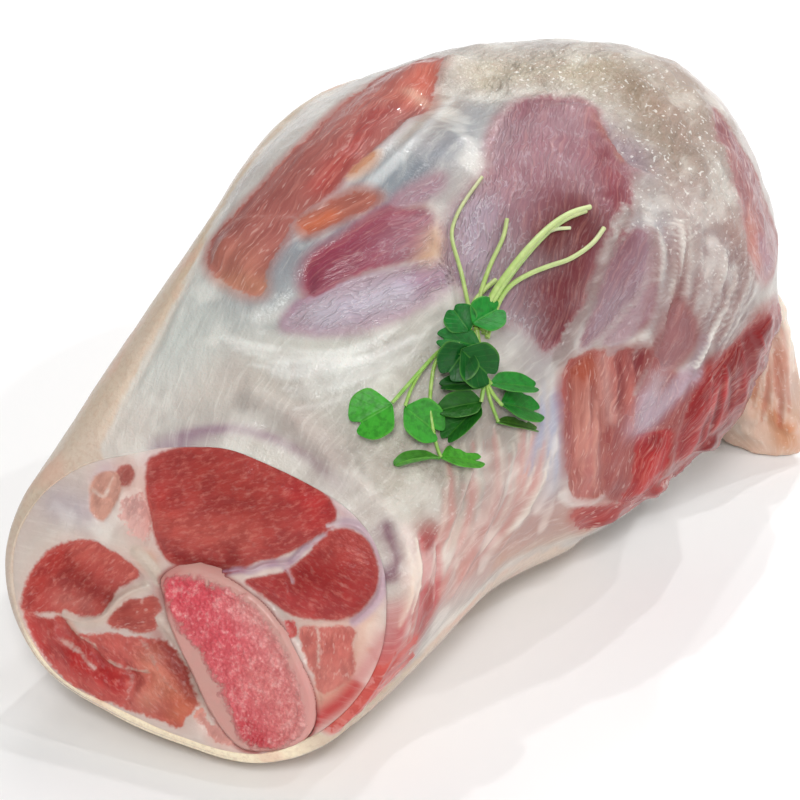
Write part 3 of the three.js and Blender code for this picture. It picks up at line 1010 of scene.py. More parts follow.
@dataclass(frozen=True)
class TissueFinish:
    """Raw meat with its fat, fascia, veils and rind, told apart by the mesh's painted attributes."""

    name: str
    fibre_bump: float = 0.45
    cover_bump: float = 0.35
    fine_bump: float = 0.5
    fat_bump: float = 1.5
    fibre_stretch: tuple[float, float, float] = (0.10, 1.3, 1.0)
    bundle_stretch: tuple[float, float, float] = (0.05, 0.3, 1.0)
    fleck_stretch: tuple[float, float, float] = (0.34, 1.7, 1.0)
    translucence: float = 0.62
    streakiness: float = 0.34
    dark_tint: Tint = (96, 22, 30)
    light_tint: Tint = (232, 170, 152)
    fleck_tint: Tint = (228, 192, 182)
    veil_tint: Tint = (190, 184, 190)
    # painted sheen along the veil's creases
    crease_sheen_tint: Tint = (234, 230, 236)
    pale_tint: Tint = (252, 249, 240)
    deep_tint: Tint = (140, 122, 118)
    # painted shade in the hollows between the fat's lumps
    hollow_shade_tint: Tint = (178, 148, 134)
    # painted glints on the fat
    glint_tint: Tint = (255, 253, 248)
    pore_tint: Tint = (186, 146, 120)
    blush_tint: Tint = (224, 170, 150)
    torn_scales: tuple[float, float] = (260.0, 1000.0)
    fine_scale: float = 800.0
    lobe_scale: float = 420.0
    # noise scale of the painted glints
    glint_scale: float = 950.0
    roughness: float = 0.36
    fat_gloss: float = 0.08
    skin_roughness: float = 0.12
    bump_depth: float = 0.0005
    subsurface: float = 0.1
    coat: float = 0.6

    def build(self) -> bpy.types.Material:
        """Make the material.

        Returns:
            The material.
        """
        graph = Graph(self.name)
        window, veil, fat = graph.parts("tissue")
        skin, ragged, flecks = graph.parts("surface")
        clouds, patches, blotches = graph.parts("clouds")
        grain = graph.attribute("grain").outputs["Vector"]
        where = graph.where()

        mask = self.muscle_mask(graph, window, ragged, veil, where)
        meat, meat_height = self.meat(graph, window, grain, flecks, blotches)
        veiled, veil_height = self.veiled(graph, meat, veil, grain, clouds)
        cover, cover_height = self.cover(graph, window, fat, skin, where, clouds, patches)

        soft = graph.ramp(window, -1.0, 0.7)
        calm = graph.parts("grain")[2]
        meat_height = graph.math("MULTIPLY", graph.math("ADD", meat_height, veil_height), calm)
        meat_height = graph.math("MULTIPLY", meat_height, soft)
        bare = graph.math("SUBTRACT", 1.0, soft)
        cover_height = graph.math("MULTIPLY", graph.math("ADD", cover_height, 0.2), bare)
        normal = graph.bump(graph.math("ADD", meat_height, cover_height), 0.9, self.bump_depth)

        rough = graph.math("SUBTRACT", self.roughness, graph.math("MULTIPLY", fat, self.fat_gloss))
        rough = graph.math("ADD", rough, graph.math("MULTIPLY", skin, self.skin_roughness))
        graph.set(Base_Color=graph.mix(mask, cover, veiled), Roughness=rough, Normal=normal,
                  Coat_Normal=normal, Subsurface_Weight=self.subsurface,
                  Subsurface_Radius=(1.0, 0.45, 0.35), Subsurface_Scale=0.0025,
                  Specular_IOR_Level=0.06, Coat_Weight=self.coat, Coat_Roughness=0.09, Coat_IOR=1.33)
        return graph.material

    def muscle_mask(self, graph: Graph, window: object, ragged: object, veil: object, where: object
                    ) -> bpy.types.NodeSocket:
        """1 where muscle shows and 0 where it is covered: torn at a bare edge, soft at a veiled one."""
        coarse_scale, fine_scale = self.torn_scales
        coarse = graph.swing(graph.noise(where, coarse_scale, 2.0, 0.6), 4.2)
        fine = graph.swing(graph.noise(where, fine_scale, 1.0, 0.65), 2.0)
        torn = graph.math("MULTIPLY", graph.math("ADD", coarse, fine), ragged)
        spread = graph.math("MULTIPLY", veil, 3.2)
        low = graph.math("SUBTRACT", -0.5, spread)
        high = graph.math("ADD", 0.45, spread)
        return graph.ramp(graph.math("ADD", window, torn), low, high)

    def meat(self, graph: Graph, window: object, grain: object, flecks: object, blotches: object
             ) -> tuple[object, object]:
        """Colour and height of bare muscle: fibres along its grain, and pale flecks between them."""
        fibres = graph.noise(graph.stretch(grain, self.fibre_stretch), 1.0, 3.0, 0.62)
        bundles = graph.noise(graph.stretch(grain, self.bundle_stretch), 1.0, 2.0, 0.5)
        muscle = graph.attribute("muscle").outputs["Color"]
        dark = graph.mix(0.30, muscle, self.dark_tint)
        light = graph.mix(0.19, muscle, self.light_tint)
        colour = graph.mix(graph.ramp(bundles, 0.36, 0.64), dark, muscle)
        colour = graph.mix(graph.ramp(fibres, 0.46, 0.74), colour, light)
        colour = graph.mix(graph.ramp(blotches, 0.52, 0.75, 0.0, 0.4), colour, dark)
        colour = graph.mix(graph.ramp(window, 0.0, 1.6, 0.3, 0.0), colour, light)
        streaks = graph.noise(graph.stretch(grain, self.fleck_stretch), 1.0, 1.0, 0.5)
        amount = graph.math("MULTIPLY", graph.ramp(streaks, 0.60, 0.72), flecks)
        colour = graph.mix(amount, colour, self.fleck_tint)
        return colour, graph.swing(fibres, self.fibre_bump * 1.7)

    def veiled(self, graph: Graph, meat: object, veil: object, grain: object, clouds: object
               ) -> tuple[object, object]:
        """Colour and height of muscle under a thin wrinkled membrane, with a painted sheen along its
        creases.
        """
        creases = graph.noise(graph.stretch(grain, (0.18, 0.5, 1.0)), 1.0, 2.0, 0.6)
        ridge = graph.math("ABSOLUTE", graph.math("SUBTRACT", creases, 0.5))
        lines = graph.ramp(ridge, 0.035, 0.0)
        broad = graph.ramp(ridge, 0.0, 0.16, 1.0, 0.0)
        amount = graph.math("MULTIPLY", veil, graph.ramp(clouds, 0.32, 0.68, 0.55, 1.2), clamp=True)
        colour = graph.mix(amount, meat, self.veil_tint)
        # painted sheen: the membrane's crease lines are lightened
        shine = graph.math("MULTIPLY", graph.math("MULTIPLY", lines, 0.36), veil)
        colour = graph.mix(shine, colour, self.crease_sheen_tint)
        height = graph.math("ADD", graph.swing(broad, 0.7), graph.math("MULTIPLY", lines, 0.4))
        return colour, graph.math("MULTIPLY", height, veil)

    def cover(self, graph: Graph, window: object, fat: object, skin: object, where: object,
              clouds: object, patches: object) -> tuple[object, object]:
        """Colour and height of what covers the meat: fascia in streaks, lumpy fat with painted shade in its
        hollows and painted glints, and rind.
        """
        colour = graph.attribute("cover").outputs["Color"]
        muscle = graph.attribute("muscle").outputs["Color"]
        flow = graph.attribute("flow").outputs["Vector"]
        streaks = graph.noise(graph.stretch(flow, (0.10, 0.62, 1.0)), 1.0, 3.0, 0.66)
        fine = graph.noise(where, self.fine_scale, 2.0, 0.7)
        lobes = graph.cells(where, self.lobe_scale)
        not_skin = graph.math("SUBTRACT", 1.0, skin)

        pale = graph.mix(0.5, colour, self.pale_tint)
        deep = graph.mix(0.3, colour, self.deep_tint)
        plain = graph.mix(graph.ramp(clouds, 0.36, 0.60), deep, colour)
        plain = graph.mix(graph.ramp(patches, 0.52, 0.72, 0.0, 0.6), plain, pale)
        faint = graph.math("MULTIPLY", graph.ramp(streaks, 0.48, 0.72, 0.0, self.streakiness), not_skin)
        streaked = graph.mix(faint, plain, pale)
        # painted shade: the hollows between the fat's lumps are darkened
        hollow = graph.math("MULTIPLY", graph.ramp(lobes, 0.45, 0.8, 0.0, 0.22), fat)
        lumpy = graph.mix(hollow, streaked, self.hollow_shade_tint)
        # painted glints: sparse near-white specks on the fat stand in for wet highlights
        painted_glints = graph.ramp(graph.noise(where, self.glint_scale, 1.0, 0.6), 0.64, 0.7)
        painted_glints = graph.math("MULTIPLY", painted_glints, fat)
        lumpy = graph.mix(graph.math("MULTIPLY", painted_glints, 0.6), lumpy, self.glint_tint)
        thin = graph.ramp(window, -3.6, 0.0, 0.0, self.translucence)
        thin = graph.math("MULTIPLY", thin, graph.ramp(clouds, 0.35, 0.65, 0.35, 1.2))
        thinned = graph.mix(thin, lumpy, muscle)
        rind = graph.mix(graph.ramp(fine, 0.42, 0.68, 0.0, 0.22), colour, self.pore_tint)
        rind = graph.mix(graph.ramp(patches, 0.5, 0.75, 0.0, 0.4), rind, self.blush_tint)

        height = graph.math("MULTIPLY", graph.swing(streaks, self.cover_bump), not_skin)
        lumps = graph.math("MULTIPLY", graph.swing(graph.ramp(lobes, 0.0, 0.75, 1.0, 0.0), 0.9), fat)
        rough = graph.math("MULTIPLY", graph.swing(fine, self.fat_bump), fat)
        height = graph.math("ADD", graph.math("ADD", height, lumps), rough)
        return graph.mix(skin, thinned, rind), graph.math("ADD", height, graph.swing(fine, self.fine_bump))


# ---------------------------------------------------------------- the meat


@dataclass
class MeatBody:
    """The hock's outside: meat under fascia and fat, with the rind round its underside.

    Lengths are in mm and angles in degrees. The floor behind the sawn face has rings at
    FLOOR_SHARES of the lip's inner radius. LIP_STEPS holds the lip's rings: how near each is to
    the inner edge, 1 on it and 0 at the outer one, and its height over the cut.
    """

    form: HockForm = field(default_factory=HockForm)
    rings: int = 262
    sides: int = 312
    lip: float = 2.3
    rim_rounding: float = 1.6
    cap_depth: float = 4.0
    rind_step: float = 0.7
    seen_angle: float = 128.0
    seen_crowding: float = 1.3
    rind_turn_far: tuple[float, ...] = (46, 54, 47, 43, 36, 14)
    rind_turn_near: tuple[float, ...] = (216, 212, 218, 238, 252, 236)
    rind_radius: float = 48.0
    meat_tint: Tint = (152, 84, 84)
    fascia_tint: Tint = (196, 190, 184)
    edge_fat_tint: Tint = (222, 214, 204)
    rind_tints: tuple[Tint, Tint] = ((206, 186, 162), (216, 198, 184))
    profile_angle: float = 100.0
    crowding_width: float = 80.0
    rind_wrap: float = 130.0
    tracer_step: int = 3
    front_rings: int = field(default=0, init=False)

    FLOOR_SHARES = (0.4, 0.92)
    LIP_STEPS = ((1.0, -1.4), (1.0, -0.25), (0.75, 0.1), (0.3, 0.15))

    MUSCLES = (
        Muscle("long_salmon", ((371, 82), (333, 109), (293, 150), (259, 188), (223, 226), (209, 248),
             (212, 270), (230, 286), (250, 295), (264, 292), (266, 271), (283, 241), (295, 219), (331, 193),
             (350, 171), (388, 138), (410, 120), (431, 108), (434, 88), (445, 64), (425, 60), (398, 68)),
             (163, 103, 97), 52, 1.2, 0, 0.6, 0.3),
        Muscle("orange_slip", ((297, 222), (318, 208), (345, 194), (362, 190), (378, 198), (364, 210),
             (335, 222), (310, 233)), (164, 104, 92), 30, 0.5, 0, 0.5, 0.4),
        Muscle("orange_sliver", ((348, 176), (358, 163), (374, 154), (368, 165)), (198, 150, 118), 40, 0.2),
        Muscle("purple_slip", ((395, 206), (408, 193), (424, 184), (440, 177), (438, 190), (420, 203)),
             (148, 96, 112), 35, 0.3, 0.35, 0.5),
        Muscle("purple_belly", ((304, 269), (318, 252), (345, 235), (379, 212), (410, 208), (431, 215),
             (431, 235), (425, 256), (385, 266), (345, 278), (318, 297), (305, 290)), (142, 62, 82), 28,
             1.4, 0.1, 0.4, 0.1),
        Muscle("veiled_belly", ((285, 322), (300, 303), (335, 288), (385, 274), (438, 262), (452, 282),
             (425, 300), (375, 323), (330, 328), (300, 326)), (150, 96, 124), 24, 0.8, 0.6, 1.0, 0.1),
        Muscle("mauve_mass", ((505, 112), (530, 98), (566, 96), (590, 108), (600, 128), (614, 150),
             (628, 168), (630, 195), (628, 218), (612, 252), (592, 292), (575, 322), (560, 342), (545, 352),
             (532, 336), (515, 322), (498, 322), (480, 300), (452, 284), (440, 262), (442, 225), (465, 195),
             (486, 172), (492, 140)), (132, 68, 80), 76, 1.6, 0.26, 0.9, 0.1),
        Muscle("tendon_gap", ((608, 262), (624, 238), (638, 228), (650, 240), (650, 262), (640, 290),
             (622, 314), (600, 338), (580, 350), (588, 322), (598, 294)), (136, 100, 110), 62, 0.2, 0.3,
             0.7, 0.1),
        Muscle("tendon_gap_low", ((648, 292), (652, 304), (640, 322), (620, 336), (606, 344), (622, 322)),
             (146, 100, 112), 55, 0.0, 0.35, 0.8, 0.1),
        Muscle("salmon_strip", ((681, 302), (692, 316), (694, 336), (684, 356), (664, 376), (645, 398),
             (636, 410), (640, 392), (652, 366), (658, 336), (668, 312)), (134, 80, 80), 66, 0.6, 0.1, 0.6,
             0.1),
        Muscle("orange_red", ((633, 354), (646, 350), (657, 354), (652, 370), (633, 393), (614, 412),
             (616, 392), (628, 370)), (162, 72, 60), 60, 0.5, 0, 0.8, 0.3),
        Muscle("low_field", ((568, 362), (585, 354), (606, 350), (632, 349), (656, 352), (672, 372),
             (690, 380), (712, 364), (734, 344), (768, 302), (780, 320), (778, 362), (764, 402), (744, 430),
             (716, 452), (690, 466), (668, 478), (640, 500), (608, 498), (600, 480), (586, 496), (570, 478),
             (566, 430), (563, 392)), (146, 66, 60), 70, 0.6, 0.05, 0.5, 0.3, ground=True),
        Muscle("salmon_pad", ((570, 372), (580, 360), (596, 352), (600, 372), (600, 396), (606, 430),
             (607, 462), (604, 495), (588, 499), (572, 494), (571, 462), (573, 430), (569, 400)),
             (148, 82, 74), 84, 0.9, 0, 0.4, 0.35),
        Muscle("red_strip", ((636, 436), (654, 430), (672, 428), (672, 446), (666, 466), (656, 486),
             (638, 504), (620, 504), (630, 480), (634, 455)), (160, 36, 36), 70, 0.6, 0, 0.5, 0.2),
        Muscle("red_corner", ((700, 372), (712, 362), (731, 347), (746, 331), (757, 319), (768, 302),
             (780, 320), (780, 360), (768, 402), (748, 430), (722, 450), (698, 462), (672, 476), (674, 452),
             (680, 428), (688, 402)), (140, 36, 40), 52, 1.0, 0, 0.5, 0.15),
        Muscle("foot_red", ((574, 512), (600, 508), (625, 502), (650, 490), (670, 476), (668, 490),
             (640, 512), (606, 524), (580, 530)), (164, 70, 68), 25, 0.3, 0.0, 0.9, 0.4),
        Muscle("far_rim", ((712, 108), (722, 118), (736, 140), (752, 166), (762, 190), (770, 215),
             (777, 240), (772, 270), (762, 280), (752, 262), (748, 240), (743, 214), (738, 190), (729, 158),
             (716, 128)), (156, 104, 102), 100, 0.4, 0.25, 1.4, 0.4),
        Muscle("low_red_far", ((300, 765), (335, 735), (362, 706), (385, 672), (400, 650), (413, 640),
             (408, 664), (388, 694), (364, 722), (335, 748)), (196, 84, 78), 40, 0.1, 0, 1.6, 0.3),
    )
    STRANDS = (
        Strand("gap_left_tendon", ((624, 212), (603, 258), (589, 300), (571, 334), (560, 358)), 3.6,
             (154, 142, 138), 1.0, 3.0),
        Strand("gap_right_tendon", ((652, 232), (657, 262), (650, 296), (632, 328), (612, 352)), 3.0,
             (172, 164, 164), 0.8, 2.2),
        Strand("gap_far_tendon", ((664, 250), (664, 290), (652, 330), (634, 352)), 2.2, (168, 158, 156),
             0.6, 1.4),
        Strand("corner_band", ((703, 342), (692, 368), (678, 392)), 3.2, (156, 140, 144), 0.9, 1.4),
        Strand("pad_foot_septum", ((565, 495), (574, 502), (590, 504), (603, 496)), 1.8, (228, 220, 214),
             0.5, 1.4),
        Strand("long_salmon_split", ((222, 232), (238, 222), (276, 219), (297, 216)), 0.5, (198, 150, 142),
             0.2, 0.3),
        Strand("long_salmon_vein", ((338, 156), (348, 146), (352, 130), (356, 118), (368, 108)), 0.6,
             (208, 170, 158), 0.2, 0.4),
        Strand("fat_edge_line", ((590, 115), (602, 132), (614, 150), (622, 162)), 1.2, (196, 160, 140), 0.7,
             1.6),
        Strand("low_far_line", ((300, 752), (330, 728), (362, 690)), 0.6, (206, 150, 140), 0.1, 0.4),
        Strand("strip_right_septum", ((668, 302), (662, 330), (652, 356), (634, 392)), 1.4, (190, 178, 176),
             0.7, 1.0),
    )
    WASHES = (
        # fascia and fat, from the sawn end to the far end
        Wash("sawn_side_fascia", ((250, 340), (200, 330), (180, 400)), 16, (200, 204, 198), 0.9),
        Wash("belly_fascia", ((300, 300), (250, 310), (300, 350), (360, 350)), 10, (176, 179, 173), 0.7),
        Wash("rim_left_fat", ((230, 400), (170, 430), (110, 440)), 9, (212, 200, 190), 0.8),
        Wash("middle_fascia", ((300, 420), (350, 480), (390, 500), (430, 470), (400, 420)), 12,
             (206, 196, 182), 0.9),
        Wash("under_belly_fascia", ((330, 400), (380, 360), (430, 340), (440, 400)), 9, (196, 194, 184),
             0.8),
        Wash("right_middle_fascia", ((450, 500), (480, 450), (520, 430), (550, 400)), 10, (160, 150, 140),
             0.8),
        Wash("long_grey_fascia", ((460, 110), (400, 170), (330, 230), (270, 270)), 8, (138, 143, 150), 0.9),
        Wash("grey_fascia_core", ((450, 130), (400, 165), (375, 200)), 4, (140, 146, 150), 0.5),
        Wash("long_salmon_tip_fat", ((425, 90), (440, 110), (400, 135)), 4, (196, 178, 160), 0.6),
        Wash("top_fat", ((490, 75), (540, 70), (600, 70)), 7, (194, 182, 158), 0.85),
        Wash("top_right_fat", ((640, 90), (680, 150), (690, 180)), 9, (140, 120, 100), 0.9),
        # painted shade: the fat hollow is washed darker
        Wash("fat_hollow", ((665, 110), (690, 128), (684, 112)), 3, (168, 140, 122), 0.7),
        Wash("right_fascia", ((700, 200), (720, 250), (735, 300)), 8, (166, 148, 140), 0.8),
        Wash("right_fascia_blush", ((735, 240), (745, 262)), 4, (196, 140, 122), 0.7),
        Wash("right_fascia_light", ((690, 210), (680, 260), (668, 300)), 4, (190, 168, 150), 0.7),
        Wash("right_fascia_shade", ((730, 290), (715, 340), (705, 380)), 6, (138, 116, 114), 0.85),
        Wash("gap_head_membrane", ((640, 230), (655, 220), (665, 250)), 4, (160, 156, 164), 0.6),
        Wash("mauve_edge_membrane", ((600, 130), (630, 150), (640, 165)), 3.5, (140, 116, 130), 0.7),
        Wash("belly_end_fat", ((435, 240), (428, 256)), 2.2, (206, 166, 132), 0.9, Layer.BOTH),
        Wash("pad_head_membrane", ((520, 325), (545, 345), (540, 360)), 5, (182, 178, 180), 0.7),
        Wash("low_membrane", ((545, 430), (550, 480), (540, 520)), 5, (190, 176, 178), 0.7),
        Wash("low_membrane_edge", ((560, 400), (560, 450), (555, 490)), 2.5, (176, 172, 182), 0.7),
        Wash("low_pink_band", ((500, 560), (560, 530), (600, 515)), 5, (206, 174, 160), 0.7),
        Wash("low_pink_band_near", ((440, 600), (480, 570), (520, 545)), 5, (204, 164, 156), 0.7),
        Wash("low_orange_line", ((500, 560), (590, 530)), 2.5, (222, 172, 138), 0.5),
        Wash("low_ridge_pale", ((408, 634), (412, 590), (408, 545)), 2.0, (214, 184, 170), 0.8),
        Wash("low_rose_line", ((428, 540), (436, 580), (426, 620)), 2.2, (206, 132, 128), 0.8),
        Wash("low_red_line", ((404, 612), (398, 640), (380, 668)), 2.2, (186, 78, 80), 0.85),
        Wash("low_rose_field", ((470, 540), (500, 520), (520, 500)), 4, (208, 158, 146), 0.6),
        Wash("right_deep_shade", ((700, 300), (735, 270), (745, 320), (715, 380)), 7, (124, 102, 102), 0.8),
        Wash("right_pale_film", ((690, 210), (715, 260), (700, 300)), 6, (176, 162, 162), 0.6),
        Wash("far_fat", ((680, 60), (690, 90), (700, 120)), 7, (168, 150, 134), 0.8),
        Wash("low_rim_fat", ((370, 730), (420, 670), (450, 625)), 3, (222, 186, 158), 0.9),
        Wash("cut_ridge_light", ((255, 405), (291, 425), (328, 473), (363, 502), (392, 530)), 2.4,
             (226, 222, 212), 0.8),
        Wash("cut_rim_light", ((200, 410), (240, 405), (270, 425), (300, 448)), 3, (214, 204, 192), 0.6),
        Wash("belly_end_brown", ((430, 235), (420, 215)), 2, (196, 150, 124), 0.6),
        Wash("shoulder_fat", ((250, 100), (300, 100), (330, 95)), 5, (196, 186, 178), 0.5),
        Wash("cut_rim_broad", ((170, 424), (230, 414), (290, 436), (340, 476)), 4.6, (172, 166, 160), 0.7),
        # painted shade: a thin dark mauve band along the edge just above the sawn face
        Wash("cut_rim_shade", ((150, 444), (200, 431), (250, 431), (300, 452), (340, 484)), 0.9,
             (150, 122, 136), 0.9),
        Wash("cut_ridge_side", ((300, 425), (335, 470), (372, 515)), 3.2, (190, 176, 168), 0.7),
        # painted shade: the groove by the sawn face's rim is washed near-black
        Wash("rim_groove_shade", ((386, 528), (394, 542), (398, 560), (392, 576)), 1.3, (98, 6, 60)),
        Wash("rim_groove_light", ((404, 530), (410, 552), (408, 580)), 1.2, (226, 208, 200), 0.8),
        Wash("low_brown_band", ((470, 560), (520, 530), (570, 515)), 5.0, (184, 132, 118), 0.7),
        Wash("low_dark_field", ((430, 545), (432, 590), (420, 630)), 3.6, (150, 48, 48), 0.85),
        Wash("orange_red_heart", ((640, 354), (628, 382), (616, 410)), 3.4, (120, 28, 22), 1.0,
             Layer.MUSCLE),
        Wash("pad_right_edge", ((626, 420), (622, 450), (618, 486)), 2.2, (156, 92, 88), 0.7, Layer.MUSCLE),
        Wash("strip_lilac_band", ((692, 376), (670, 398), (648, 420)), 1.6, (172, 150, 164), 0.8,
             Layer.MUSCLE),
        Wash("pad_seam", ((604, 360), (608, 390), (612, 418)), 1.3, (206, 158, 148), 0.7, Layer.MUSCLE),
        # shades within the muscles
        Wash("veiled_belly_sheen", ((326, 314), (366, 302), (402, 290)), 2.4, (188, 176, 196), 0.8,
             Layer.MUSCLE),
        Wash("mauve_left_sheen", ((478, 212), (470, 244), (482, 282)), 2.4, (184, 168, 186), 0.6,
             Layer.MUSCLE),
        Wash("salmon_foot_tan", ((225, 282), (245, 284), (262, 286)), 2.6, (192, 138, 114), 0.8,
             Layer.MUSCLE),
        Wash("salmon_foot_light", ((225, 255), (250, 262)), 3.4, (184, 124, 108), 0.6, Layer.MUSCLE),
        Wash("salmon_head_bright", ((405, 100), (420, 85), (432, 72)), 3.5, (196, 108, 92), 0.8,
             Layer.MUSCLE),
        Wash("salmon_head_dark", ((380, 112), (350, 150), (325, 185)), 2.6, (172, 78, 74), 0.7,
             Layer.MUSCLE),
        Wash("salmon_head_pale", ((410, 92), (425, 105)), 1.5, (214, 170, 150), 0.7, Layer.MUSCLE),
        Wash("orange_slip_bright", ((305, 228), (330, 215)), 1.6, (200, 112, 80), 0.7, Layer.MUSCLE),
        Wash("purple_belly_top", ((312, 262), (345, 240), (385, 216), (420, 214)), 1.8, (140, 54, 72), 0.8,
             Layer.MUSCLE),
        Wash("mauve_dark_heart", ((545, 262), (565, 235), (585, 220)), 7.0, (96, 22, 26), 1.0,
             Layer.MUSCLE),
        Wash("mauve_dark_foot", ((530, 300), (552, 320), (575, 285)), 4.5, (104, 36, 46), 0.9,
             Layer.MUSCLE),
        Wash("mauve_right_shade", ((600, 150), (612, 175), (616, 200)), 4.6, (128, 58, 66), 0.9,
             Layer.MUSCLE),
        Wash("mauve_top_light", ((575, 110), (590, 120)), 2.5, (156, 96, 98), 0.7, Layer.MUSCLE),
        Wash("mauve_left_light", ((470, 230), (480, 280)), 6, (146, 118, 136), 0.7, Layer.MUSCLE),
        Wash("gap_grey", ((616, 300), (604, 320)), 2.2, (140, 108, 118), 0.6, Layer.MUSCLE),
        Wash("strip_foot_lilac", ((648, 402), (640, 425)), 2.4, (176, 146, 160), 0.9, Layer.MUSCLE),
        Wash("strip_brown", ((675, 340), (668, 365)), 2.5, (158, 102, 100), 0.6, Layer.MUSCLE),
        Wash("pad_head_orange", ((580, 370), (590, 372)), 2.4, (160, 84, 66), 0.7, Layer.MUSCLE),
        Wash("pad_foot_light", ((585, 440), (590, 470), (588, 490)), 3.0, (192, 124, 118), 0.8,
             Layer.MUSCLE),
        Wash("red_strip_bright", ((662, 446), (652, 468), (640, 490)), 2.2, (178, 44, 44), 0.8,
             Layer.MUSCLE),
        Wash("red_strip_dark", ((655, 437), (660, 445)), 1.4, (120, 40, 40), 0.6, Layer.MUSCLE),
        Wash("red_corner_dark", ((728, 372), (742, 352), (757, 345), (757, 365)), 3.4, (122, 24, 30), 0.95,
             Layer.MUSCLE),
        Wash("red_corner_light", ((716, 395), (700, 425), (690, 450)), 2.6, (180, 58, 58), 0.8,
             Layer.MUSCLE),
        Wash("red_corner_middle", ((738, 408), (715, 432)), 1.6, (140, 40, 42), 0.6, Layer.MUSCLE),
        # painted shade: the red corner's lower right edge is darkened where it turns from the light
        Wash("red_corner_edge_shade", ((770, 330), (766, 370), (750, 404), (716, 440)), 2.6, (118, 16, 22), 1.0,
             Layer.BOTH),
        Wash("far_rim_dark", ((722, 125), (738, 150), (748, 175)), 2.4, (130, 62, 66), 0.8, Layer.MUSCLE),
        Wash("far_rim_orange", ((752, 225), (757, 255)), 2.6, (190, 120, 100), 0.8, Layer.MUSCLE),
        Wash("far_rim_mauve", ((762, 245), (768, 265)), 2.0, (150, 104, 120), 0.7, Layer.MUSCLE),
    )
    BUNDLES = (
        Bundle("right_fascia_pale", ((640, 205), (650, 250), (644, 300), (628, 345)), ((766, 230),
             (760, 280), (742, 320), (712, 372)), 24, (234, 228, 220), 0.5, 0.3, 0.8, 21),
        Bundle("right_fascia_dark", ((636, 215), (646, 260), (640, 310), (622, 350)), ((762, 240),
             (752, 285), (732, 325), (704, 372)), 44, (138, 96, 94), 0.65, -0.25, 0.6, 22),
        Bundle("low_field_pale", ((440, 430), (446, 490), (436, 550), (420, 610)), ((560, 400), (556, 450),
             (530, 505), (480, 560)), 26, (230, 218, 204), 0.6, 0.1, 0.6, 23),
        Bundle("low_field_pink", ((436, 440), (442, 500), (434, 560), (416, 625)), ((552, 420), (546, 470),
             (520, 515), (470, 572)), 40, (200, 138, 130), 0.8, -0.1, 0.5, 24),
        Bundle("pad_left_blue", ((536, 380), (536, 430), (520, 480)), ((566, 380), (564, 430), (556, 490)),
             14, (164, 164, 182), 0.8, 0.2, 0.8, 25),
        Bundle("low_edge_red", ((416, 535), (420, 575), (406, 640)), ((440, 535), (444, 575), (424, 632)),
             16, (190, 96, 96), 0.5, -0.3, 0.8, 26),
        Bundle("low_edge_pale", ((404, 545), (408, 580), (398, 625)), ((416, 540), (420, 578), (406, 630)),
             7, (230, 208, 192), 0.6, 0.3, 0.7, 27),
        Bundle("low_far_pink", ((320, 735), (352, 705), (388, 662)), ((345, 745), (380, 712), (415, 660)),
             16, (206, 120, 104), 0.6, -0.2, 0.7, 28),
        Bundle("middle_pale", ((210, 330), (250, 345), (330, 350), (400, 325)), ((300, 410), (340, 400),
             (400, 370), (440, 340)), 24, (232, 232, 226), 0.8, 0.25, 0.6, 29),
        Bundle("grey_fascia_pale", ((470, 90), (420, 150), (350, 212), (280, 262)), ((440, 72), (400, 130),
             (330, 190), (262, 240)), 12, (204, 206, 206), 0.6, 0.15, 0.6, 30),
        Bundle("grey_fascia_dark", ((440, 130), (400, 165), (370, 196)), ((476, 140), (440, 178),
             (420, 200)), 10, (122, 128, 136), 0.7, -0.08, 0.5, 31),
        Bundle("orange_red_fibres", ((608, 352), (612, 392), (612, 440)), ((634, 352), (632, 392),
             (636, 430)), 10, (196, 116, 104), 0.4, 0.25, 0.5, 32, Layer.MUSCLE),
        Bundle("strip_lilac_fibres", ((684, 364), (664, 396), (640, 426)), ((704, 354), (690, 384),
             (664, 418)), 9, (186, 164, 174), 0.45, 0.3, 0.7, 33, Layer.BOTH),
        Bundle("pad_fibres", ((576, 366), (576, 420), (580, 490)), ((604, 360), (606, 420), (604, 490)), 20,
             (202, 142, 128), 0.4, 0.2, 0.6, 34, Layer.MUSCLE),
        Bundle("red_corner_bright_fibres", ((700, 380), (690, 420), (676, 470)), ((770, 312), (768, 380),
             (720, 448)), 14, (182, 66, 66), 0.4, 0.2, 0.5, 35, Layer.MUSCLE),
        Bundle("red_corner_dark_fibres", ((700, 384), (690, 424), (676, 470)), ((770, 322), (764, 384),
             (716, 448)), 18, (112, 30, 36), 0.5, -0.25, 0.7, 36, Layer.MUSCLE),
    )
    SKIN_MARKS = (
        # painted light: the rind's lower edge is washed near white, a painted glow of light through the rind
        Wash("rind_foot_glow", ((30, 655), (80, 702), (150, 730), (220, 765), (280, 778)), 4.0,
             (255, 238, 208)),
        Wash("rind_side_tan", ((110, 300), (60, 420), (30, 520)), 6.0, (206, 188, 164), 0.5),
    )
